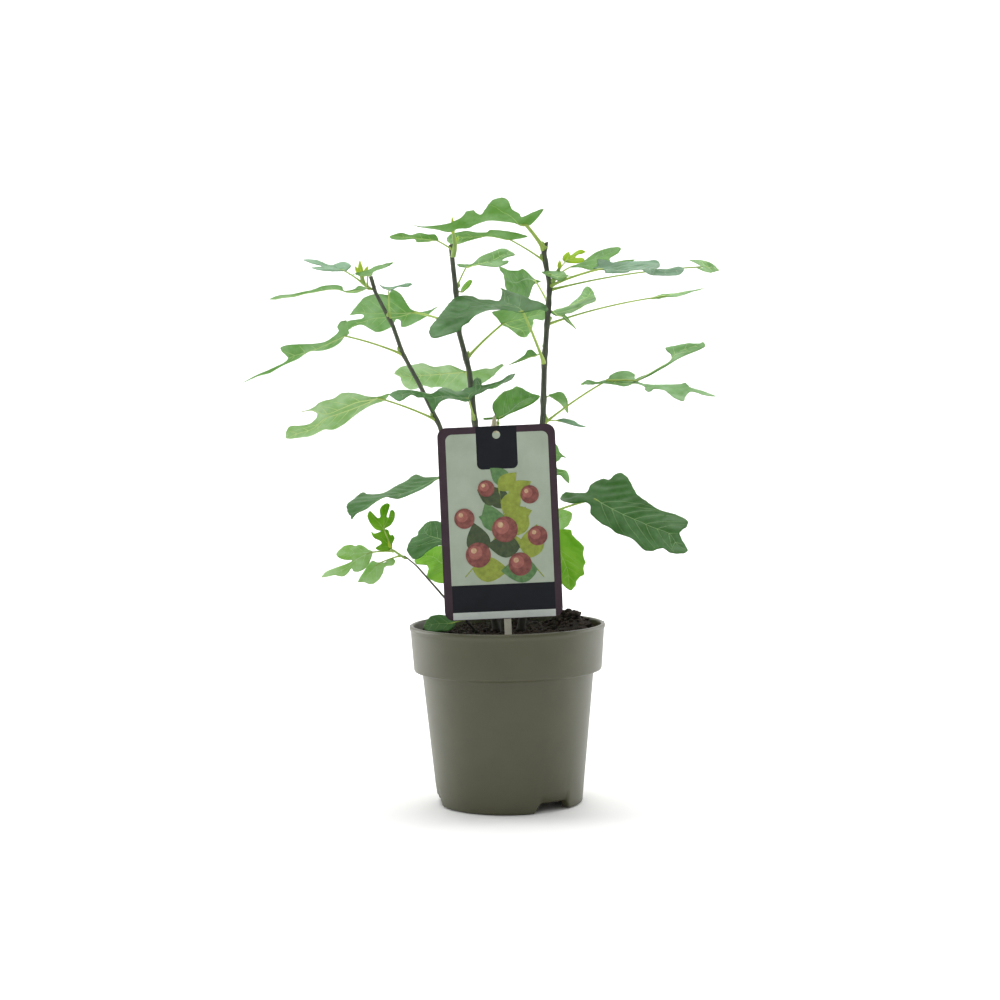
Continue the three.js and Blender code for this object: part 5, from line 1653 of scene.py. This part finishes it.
@dataclass
class Pot(Maker):
    """The round nursery pot: a tapering wall, a deep collar, a rolled lip and three foot notches.

    Attributes:
        steps: Faces round it.
        notch_bearings: Where its foot is notched.
        notch_high: How high a notch reaches.
        notch_half: Half a notch's width.
        notch_slope: The width of each of its slopes.
        foot_inside: The foot ring's inner radius.
        foot_middle: The foot ring's middle radius.
        lug_bearings: Where its lip has a lug.
    """

    steps: int = 192
    notch_bearings: tuple[float, ...] = (-54, 66, 186)
    notch_high: float = 6.5
    notch_half: float = 10.6
    notch_slope: float = 3.8
    foot_inside: float = 42.5
    foot_middle: float = 48
    lug_bearings: tuple[float, ...] = (-117.5, -57.5, 2.5, 62.5, 122.5, 182.5)

    def build(self) -> None:
        """Models the pot and the small lugs on its lip."""
        pot = Sculpture("nursery_pot")
        verts = [pot.mesh.verts.new((radius, 0, height)) for radius, height in POT_SECTION]
        edges = [pot.mesh.edges.new(pair) for pair in zip(verts, verts[1:])]
        bmesh.ops.spin(
            pot.mesh, geom=verts + edges, cent=(0, 0, 0), axis=(0, 0, 1), angle=math.tau,
            steps=self.steps, use_merge=True, use_normal_flip=False, use_duplicate=False,
        )
        bmesh.ops.remove_doubles(pot.mesh, verts=pot.mesh.verts, dist=1e-3)
        for vert in pot.mesh.verts:
            self._notch(vert)
        pot.paint(pot.mesh.faces, Surface.POT)
        for bearing in self.lug_bearings:
            self._lug(pot, bearing)
        pot.finish(self.shop, "pot_plastic", "pot")

    def _notch(self, vert: bmesh.types.BMVert) -> None:
        """Lifts a vertex of the foot where it lies in a notch.

        Args:
            vert: The vertex.
        """
        if vert.co.z > self.notch_high or math.hypot(vert.co.x, vert.co.y) < self.foot_inside:
            return
        bearing = math.degrees(math.atan2(vert.co.y, vert.co.x))
        for middle in self.notch_bearings:
            off = math.radians(abs((bearing - middle + 180) % 360 - 180)) * self.foot_middle
            share = (self.notch_half + self.notch_slope - off) / self.notch_slope
            vert.co.z = max(vert.co.z, self.notch_high * min(max(share, 0), 1))

    @staticmethod
    def _lug(pot: Sculpture, bearing: float) -> None:
        """Sets a small stacking lug on the lip.

        Args:
            pot: The pot's mesh.
            bearing: Degrees in plan.
        """
        made = bmesh.ops.create_cube(pot.mesh, size=1.0)["verts"]
        bmesh.ops.scale(pot.mesh, verts=made, vec=(1.1, 2.6, 0.5))
        bmesh.ops.translate(pot.mesh, verts=made, vec=(64.1, 0, 118.35))
        turn = Matrix.Rotation(math.radians(bearing), 3, "Z")
        bmesh.ops.rotate(pot.mesh, verts=made, matrix=turn)
        pot.paint(pot.soften(made, 0.12, 2), Surface.POT)


@dataclass
class Soil(Maker):
    """The potting mix: a rough top that rises into heaps, and loose lumps on it.

    Attributes:
        heaps: Each heap's place, spread and height.
        reach: The radius of the mix's top.
        level_reach: How far the mix lies level round the stems.
        crumbs: How many crumbs lie on it.
        clods: How many clods.
    """

    heaps: tuple[tuple[float, ...], ...] = ((42, 24, 15, 9), (-46, -6, 10, 6), (6, 48, 15, 5))
    reach: float = 60.3
    level_reach: float = 30
    crumbs: int = 1500
    clods: int = 90

    def build(self) -> None:
        """Models the mix and its lumps."""
        soil = Sculpture("potting_mix")
        rings, columns = 34, 120
        wall = ((self.reach, 112.4), (58.6, 91.5), (54.8, 87), (47.0, 9.5), (0, 9.5))

        def place(column: int, row: int) -> Vector:
            """Gives a point of the rough top, or of the wall and floor inside the pot."""
            angle = math.tau * column / columns
            if row > rings:
                reach, height = wall[row - rings]
                return Vector((reach * math.cos(angle), reach * math.sin(angle), height))
            reach = self.reach * row / rings
            x, y = reach * math.cos(angle), reach * math.sin(angle)
            return Vector((x, y, self.top(x, y)))

        soil.wrap(columns, rings + len(wall) - 1, place, lambda row: Surface.SOIL)
        soil.finish(self.shop, "potting_mix", "soil")
        self._crumbs()
        self._clods()

    def top(self, x: float, y: float) -> float:
        """Gives the height of the mix.

        Args:
            x: From the pot's axis.
            y: From the pot's axis.

        Returns:
            The height.
        """
        out = min(max((math.hypot(x, y) - self.level_reach) / 12, 0), 1)
        height = SOIL_LEVEL - 1.2
        for hx, hy, spread, rise in self.heaps:
            height += out * rise * math.exp(-(((x - hx) ** 2 + (y - hy) ** 2) / spread**2))
        for tall, fine, seed in ((1.3, 0.11, 3.0), (1.1, 0.33, 7.0), (0.5, 0.9, 5.0)):
            height += tall * noise.noise(Vector((x * fine, y * fine, seed)))
        return height

    def _crumbs(self) -> None:
        """Strews crumbs of bark and peat over the mix."""
        crumbs = Sculpture("soil_crumbs")
        rng = random.Random(23)
        for i in range(self.crumbs):
            angle = rng.uniform(0, math.tau)
            reach = 58.5 * math.sqrt(rng.random())
            x, y = reach * math.cos(angle), reach * math.sin(angle)
            size = rng.uniform(0.5, 1.5) if i % 9 else rng.uniform(1.4, 2.6)
            made = bmesh.ops.create_icosphere(crumbs.mesh, subdivisions=1, radius=size)["verts"]
            for vert in made:
                vert.co *= 1 + 0.5 * noise.noise(vert.co * 1.1 + Vector((i, 0, 0)))
            stretch = (rng.uniform(0.7, 1.6), rng.uniform(0.6, 1.0), rng.uniform(0.4, 0.8))
            bmesh.ops.scale(crumbs.mesh, verts=made, vec=stretch)
            bmesh.ops.rotate(crumbs.mesh, verts=made, matrix=tumble(rng, 0.6))
            bmesh.ops.translate(crumbs.mesh, verts=made, vec=(x, y, self.top(x, y) + size * 0.25))
            crumbs.paint(faces_of(made), Surface.CRUMB if i % 3 else Surface.SOIL, smooth=False)
        crumbs.finish(self.shop, "potting_mix")

    def _clods(self) -> None:
        """Heaps clods on the highest part of the mix."""
        clods = Sculpture("soil_clods")
        rng = random.Random(5)
        x0, y0, spread = self.heaps[0][:3]
        for i in range(self.clods):
            x, y = rng.gauss(x0 - 1, spread * 0.32), rng.gauss(y0 + 3, spread * 0.45)
            if math.hypot(x, y) > 56:
                continue
            size = rng.uniform(1.0, 3.0)
            made = bmesh.ops.create_icosphere(clods.mesh, subdivisions=2, radius=size)["verts"]
            for vert in made:
                vert.co *= 1 + 0.55 * noise.noise(vert.co * (1.6 / size) + Vector((i, 3, 0)))
            turn = tumble(rng, 1)
            stretch = (1.0, rng.uniform(0.6, 1.0), rng.uniform(0.6, 0.9))
            bmesh.ops.scale(clods.mesh, verts=made, vec=stretch)
            bmesh.ops.rotate(clods.mesh, verts=made, matrix=turn)
            near = math.exp(-(((x - x0) ** 2 + (y - y0) ** 2) / (0.6 * spread) ** 2))
            height = self.top(x, y) + near * rng.uniform(0, 3.5)
            bmesh.ops.translate(clods.mesh, verts=made, vec=(x, y, height))
            clods.paint(faces_of(made), Surface.CRUMB if i % 2 else Surface.SOIL)
        clods.finish(self.shop, "potting_mix")


# ---------------------------------------------------------------- card


def circle(middle: Vector, radius: float, count: int) -> list[Vector]:
    """Draws a circle.

    Args:
        middle: Its middle.
        radius: Its radius.
        count: How many points it has.

    Returns:
        Its edge.
    """
    return [middle + toward(360 * i / count, 0) * radius for i in range(count)]


def rounded(
    left: float, low: float, right: float, high: float, top: float, foot: float
) -> list[Vector]:
    """Draws a rectangle with round corners.

    Args:
        left: Its left side.
        low: Its lower side.
        right: Its right side.
        high: Its upper side.
        top: Radius of its upper corners.
        foot: Radius of its lower corners.

    Returns:
        Its edge.
    """
    corners = (
        (right - foot, low + foot, foot, -90), (right - top, high - top, top, 0),
        (left + top, high - top, top, 90), (left + foot, low + foot, foot, 180),
    )
    return [
        Vector((x, y, 0)) + toward(start + 90 * i / 8, 0) * radius
        for x, y, radius, start in corners
        for i in range(9)
    ]


def stroke(start: Vector, end: Vector, width: float = 0.7) -> list[Vector]:
    """Draws a short straight stroke.

    Args:
        start: Its start.
        end: Its end.
        width: Its width.

    Returns:
        Its edge.
    """
    along = (end - start).normalized() * 0.15
    side = Vector((-along.y, along.x, 0)).normalized() * (width / 2)
    return [start - along - side, end + along - side, end + along + side, start - along + side]


def pointed_oval(foot: Vector, bearing: float, length: float) -> list[Vector]:
    """Draws a pointed oval leaf.

    Args:
        foot: Where it starts.
        bearing: Its direction in degrees.
        length: Its length.

    Returns:
        Its edge.
    """
    along, side = toward(bearing, 0) * length, toward(bearing + 90, 0) * length
    half = [(i / 12, 0.34 * math.sin(math.pi * (i / 12) ** 0.8)) for i in range(13)]
    edge = [foot + along * t + side * w for t, w in half]
    return edge + [foot + along * t - side * w for t, w in reversed(half[1:-1])]


# The print's two sprigs: (foot, reach, sway, side).
SPRIGS = (((-24, 28), (30, 62), 9, 1), ((27, 26), (-26, 60), -7, -1))
SPRIG_COLOURS = (Surface.PRINT_GREEN, Surface.PRINT_OLIVE, Surface.PRINT_DARK, Surface.PRINT_OLIVE)
# Its fruits: (across, up, radius), and each one's spots: (shift across and up, size, colour).
FRUITS = (
    (-15, 42, 8.2), (12, 35, 7.6), (24, 53, 6.4), (-23, 66, 6.6), (3, 58, 8.4), (20, 80, 6.0),
    (-8, 85, 5.4),
)
FRUIT_SPOTS = (
    (0, 0, 1, Surface.PRINT_PLUM), (-0.22, 0.2, 0.55, Surface.PRINT_ROSE),
    (-0.34, 0.36, 0.22, Surface.PRINT_CREAM),
)


@dataclass
class Card(Maker):
    """The picture card: a printed sheet with round corners and a hanging hole, on a stick.

    Its own coordinates are across it, up it, and out of its printed side, from its middle foot.

    Attributes:
        width: The sheet's width.
        height: The sheet's height.
        thick: The sheet's thickness.
        back: How far its back stands off the card's plane.
        corner: Radius of its corners.
        hole_up: Height of the hanging hole.
        hole: Radius of the hole.
        foot: Where its middle foot stands.
        turn: How far it turns clockwise in its plane, in degrees.
        lean: How far it leans back, in degrees.
        ink: The thickness of a layer of print.
    """

    width: float = 76.8
    height: float = 125.5
    thick: float = 0.6
    back: float = 0.3
    corner: float = 6.0
    hole_up: float = 119.7
    hole: float = 2.6
    foot: Vector = field(default_factory=lambda: Vector((-2, -28, 124.7)))
    turn: float = -1.6
    lean: float = 3.6
    ink: float = 0.012

    def build(self) -> None:
        """Models the sheet, its print and the stick."""
        sheet = Sculpture("card_sheet")
        half = self.width / 2
        hole = circle(Vector((0, self.hole_up, 0)), self.hole, 40)
        edge = rounded(-half, 0, half, self.height, self.corner, self.corner)
        colours = (Surface.CARD_BACK, Surface.CARD_EDGE)
        self._plate(sheet, edge, self.back, self.thick, *colours, hole)
        sheet.finish(self.shop, "card_print", "label_card")
        ink = Sculpture("card_print")
        face = self.back + self.thick
        for edge, surface in (
            (rounded(-33.2, 22.6, 33.6, 120.9, 4.2, 0.3), Surface.CARD_PANEL),
            (rounded(-33.0, 5.0, 33.7, 22.6, 0.3, 0.3), Surface.CARD_NAVY),
            (rounded(-33.0, 0.4, 33.7, 5.0, 0.3, 0.3), Surface.CARD_STRIP),
        ):
            self._plate(ink, edge, face, 0.03, surface)
        tab = rounded(-13.3, 97.4, 13.3, 125.3, 0.3, 3.6)
        self._plate(ink, tab, face + 0.04, 0.03, Surface.CARD_NAVY, hole=hole)
        self._motifs(ink, face + 0.04)
        ink.finish(self.shop, "card_print")
        self._stick()

    def _stand(self, verts: Iterable[bmesh.types.BMVert], sculpture: Sculpture) -> None:
        """Stands vertices drawn on the card's own plane up on its foot.

        Args:
            verts: The vertices.
            sculpture: Their mesh.
        """
        up = Matrix.Rotation(math.radians(90 - self.lean), 3, "X")
        turn = Matrix.Rotation(math.radians(self.turn), 3, "Y") @ up
        bmesh.ops.rotate(sculpture.mesh, verts=list(verts), matrix=turn)
        bmesh.ops.translate(sculpture.mesh, verts=list(verts), vec=self.foot)

    def _plate(
        self,
        sculpture: Sculpture,
        outline: list[Vector],
        out: float,
        thick: float,
        surface: Surface,
        front: Optional[Surface] = None,
        hole: Sequence[Vector] = (),
    ) -> None:
        """Raises a flat outline into a thin plate on the card's plane.

        Args:
            sculpture: The mesh that gets it.
            outline: Its edge.
            out: How far its back stands off the card's plane.
            thick: Its thickness.
            surface: Its finish.
            front: The finish of its front and sides, where they differ.
            hole: The edge of its hole, if it has one.
        """
        mesh = sculpture.mesh
        loops = []
        for edge in (outline, hole):
            verts = [mesh.verts.new(point + Vector((0, 0, out))) for point in edge]
            loops += [mesh.edges.new((verts[i - 1], verts[i])) for i in range(len(verts))]
        flat = bmesh.ops.triangle_fill(mesh, use_beauty=True, edges=loops, normal=(0, 0, 1))["geom"]
        back = [item for item in flat if isinstance(item, bmesh.types.BMFace)]
        raised = bmesh.ops.extrude_face_region(mesh, geom=back, use_keep_orig=True)["geom"]
        verts = [item for item in raised if isinstance(item, bmesh.types.BMVert)]
        bmesh.ops.translate(mesh, verts=verts, vec=(0, 0, thick))
        verts += {vert for face in back for vert in face.verts}
        faces = faces_of(verts)
        sculpture.paint(faces, surface, smooth=False)
        if front:
            sculpture.paint((face for face in faces if face not in back), front, smooth=False)
        self._stand(verts, sculpture)

    def _motifs(self, ink: Sculpture, level: float) -> None:
        """Prints a plain made-up pattern of round fruits and pointed leaves on two curved sprigs.

        Args:
            ink: The print's mesh.
            level: How far it stands off the card's plane.
        """
        for foot, reach, sway, side in SPRIGS:
            sprig = [
                Vector((foot[0] + reach[0] * t + sway * math.sin(3 * t), foot[1] + reach[1] * t, 0))
                for t in (i / 24 for i in range(25))
            ]
            for start, end in zip(sprig, sprig[1:]):
                self._plate(ink, stroke(start, end), level, self.ink, Surface.PRINT_OLIVE)
            for n, i in enumerate(range(2, 24, 3)):
                level += self.ink
                way = sprig[i + 1] - sprig[i - 1]
                bearing = math.degrees(math.atan2(way.y, way.x)) + 52 * (1 if n % 2 else -1) * side
                leaf = pointed_oval(sprig[i], bearing, 24 - 1.1 * n)
                self._plate(ink, leaf, level, 0.75 * self.ink, SPRIG_COLOURS[(n + (side > 0)) % 4])
        for x, y, radius in FRUITS:
            for aside, up, share, surface in FRUIT_SPOTS:
                level += self.ink
                middle = Vector((x + radius * aside, y + radius * up, 0))
                self._plate(ink, circle(middle, radius * share, 36), level, self.ink, surface)

    def _stick(self) -> None:
        """Models the moulded stick behind the card."""
        stick = Sculpture("card_stick")
        made = bmesh.ops.create_cube(stick.mesh, size=1.0)["verts"]
        below = (self.foot.z - CUT_LEVEL) / math.cos(math.radians(self.lean)) + 1.0
        bmesh.ops.scale(stick.mesh, verts=made, vec=(4.6, 50 + below, 1.4))
        bmesh.ops.translate(stick.mesh, verts=made, vec=(2.2, (50 - below) / 2, -0.6))
        stick.soften(made, 0.35, 3)
        stick.paint(stick.mesh.faces, Surface.STICK)
        self._stand(stick.mesh.verts, stick)
        stick.finish(self.shop, "stick_plastic", "label_stick")


# ---------------------------------------------------------------- studio


# The soft square lights: (name, place, aim, side, watts).
LIGHTS = (
    ("top", (0, 0, 1500), (0, 0, 150), 1300, 5.0),
    ("left", (-1300, 500, 300), (0, 0, 180), 1100, 13.5),
    ("right", (1300, 500, 300), (0, 0, 180), 1100, 11.0),
    ("backdrop", (0, 700, 2300), (0, 2300, 700), 2000, 70.0),
    ("front", (-500, -1900, 1100), (0, 0, 200), 900, 4.5),
)


@dataclass
class Studio(Maker):
    """The plain pale floor and backdrop, the soft lights and the camera.

    Attributes:
        lens: The camera's focal length.
        eye: Where the camera stands.
        dip: How far it looks down, in degrees.
        roll: How far it rolls, in degrees.
    """

    lens: float = 70.2
    eye: Vector = field(default_factory=lambda: Vector((-3.5, -1290, 265)))
    dip: float = 2.86
    roll: float = 0.93

    def build(self) -> None:
        """Sets up the stage."""
        self._floor()
        world = bpy.data.worlds.new("studio")
        world.use_nodes = True
        background = world.node_tree.nodes["Background"]
        background.inputs["Color"].default_value = (1, 1, 1, 1)
        background.inputs["Strength"].default_value = 0.48
        bpy.context.scene.world = world
        bpy.context.scene.view_settings.view_transform = "Standard"
        self._camera()
        for name, place, aim, side, watts in LIGHTS:
            data = bpy.data.lights.new(name, "AREA")
            data.shape, data.size, data.energy = "SQUARE", side * MM, watts
            light = bpy.data.objects.new(name, data)
            light.location = (Vector(place) + self.shop.offset) * MM
            light.rotation_euler = (Vector(aim) - Vector(place)).to_track_quat("-Z", "Y").to_euler()
            bpy.context.scene.collection.objects.link(light)

    def _floor(self) -> None:
        """Makes a floor that sweeps up into a backdrop."""
        mesh = bmesh.new()
        bends = (math.pi / 32 * i for i in range(1, 17))
        profile = [(-4000.0, 0.0), (1500.0, 0.0)]
        profile += [(1500 + 900 * math.sin(bend), 900 - 900 * math.cos(bend)) for bend in bends]
        profile.append((2400.0, 6000.0))
        verts = [mesh.verts.new((-5.0, y * MM, (z - 0.5) * MM)) for y, z in profile]
        edges = [mesh.edges.new(pair) for pair in zip(verts, verts[1:])]
        swept = bmesh.ops.extrude_edge_only(mesh, edges=edges)["geom"]
        far = [item for item in swept if isinstance(item, bmesh.types.BMVert)]
        bmesh.ops.translate(mesh, verts=far, vec=(10.0, 0, 0))
        bmesh.ops.recalc_face_normals(mesh, faces=mesh.faces)
        for face in mesh.faces:
            face.smooth = True
        data = bpy.data.meshes.new("studio_floor")
        mesh.to_mesh(data)
        mesh.free()
        data.materials.append(self.shop.material(Surface.FLOOR))
        floor = bpy.data.objects.new("studio_floor", data)
        bpy.context.scene.collection.objects.link(floor)

    def _camera(self) -> None:
        """Sets the camera level with the crown's middle, a little dipped and rolled."""
        data = bpy.data.cameras.new("camera")
        data.lens, data.sensor_width, data.clip_end = self.lens, 36, 100
        camera = bpy.data.objects.new("camera", data)
        dip, roll = math.radians(self.dip), math.radians(self.roll)
        right, up = Vector((1, 0, 0)), Vector((0, math.sin(dip), math.cos(dip)))
        ahead = Vector((0, math.cos(dip), -math.sin(dip)))
        side = right * math.cos(roll) - up * math.sin(roll)
        top = right * math.sin(roll) + up * math.cos(roll)
        turn = Matrix((side, top, -ahead)).transposed().to_4x4()
        camera.matrix_world = Matrix.Translation((self.eye + self.shop.offset) * MM) @ turn
        bpy.context.scene.collection.objects.link(camera)
        bpy.context.scene.camera = camera


# ---------------------------------------------------------------- the whole plant


class FigTree(Maker):
    """The whole object."""

    def build(self) -> None:
        """Models the pot, the soil, the card, the stems and the leaves."""
        leaves = [*LEAVES, *low_back_leaves()]
        heights: dict[str, list[float]] = {}
        for leaf in leaves:
            heights.setdefault(leaf.on, []).append(leaf.at)
        Pot(self.shop).build()
        Soil(self.shop).build()
        Card(self.shop).build()
        Stems(self.shop, heights).build()
        Buds(self.shop).build(leaves)
        for name, part in self._parts(leaves).items():
            slot = "young_leaf" if name == "tip_leaves" else "leaf"
            Foliage(self.shop, name, slot, part).build()

    @staticmethod
    def _parts(leaves: list[Leaf]) -> dict[str, list[Leaf]]:
        """Deals the leaves out to parts of the crown.

        Args:
            leaves: Every leaf.

        Returns:
            The leaves of each part.
        """
        sides = {"left": "left_leaves", "middle": "left_leaves", "right": "right_leaves"}
        parts: dict[str, list[Leaf]] = {}
        for leaf in leaves:
            name = "tip_leaves" if leaf.on.endswith("_twig") else sides.get(leaf.on, "back_leaves")
            parts.setdefault(name, []).append(leaf)
        return parts


def main() -> None:
    """Builds the object and its stage."""
    logging.basicConfig(level=logging.INFO, format="%(name)s: %(message)s")
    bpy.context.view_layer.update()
    low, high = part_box("pot")
    shop = Workshop(Vector(((low.x + high.x) / 2, (low.y + high.y) / 2, 0)) / MM)
    FigTree(shop).build()
    Studio(shop).build()
    log.info("sizes written")


if __name__ == "__main__":
    main()
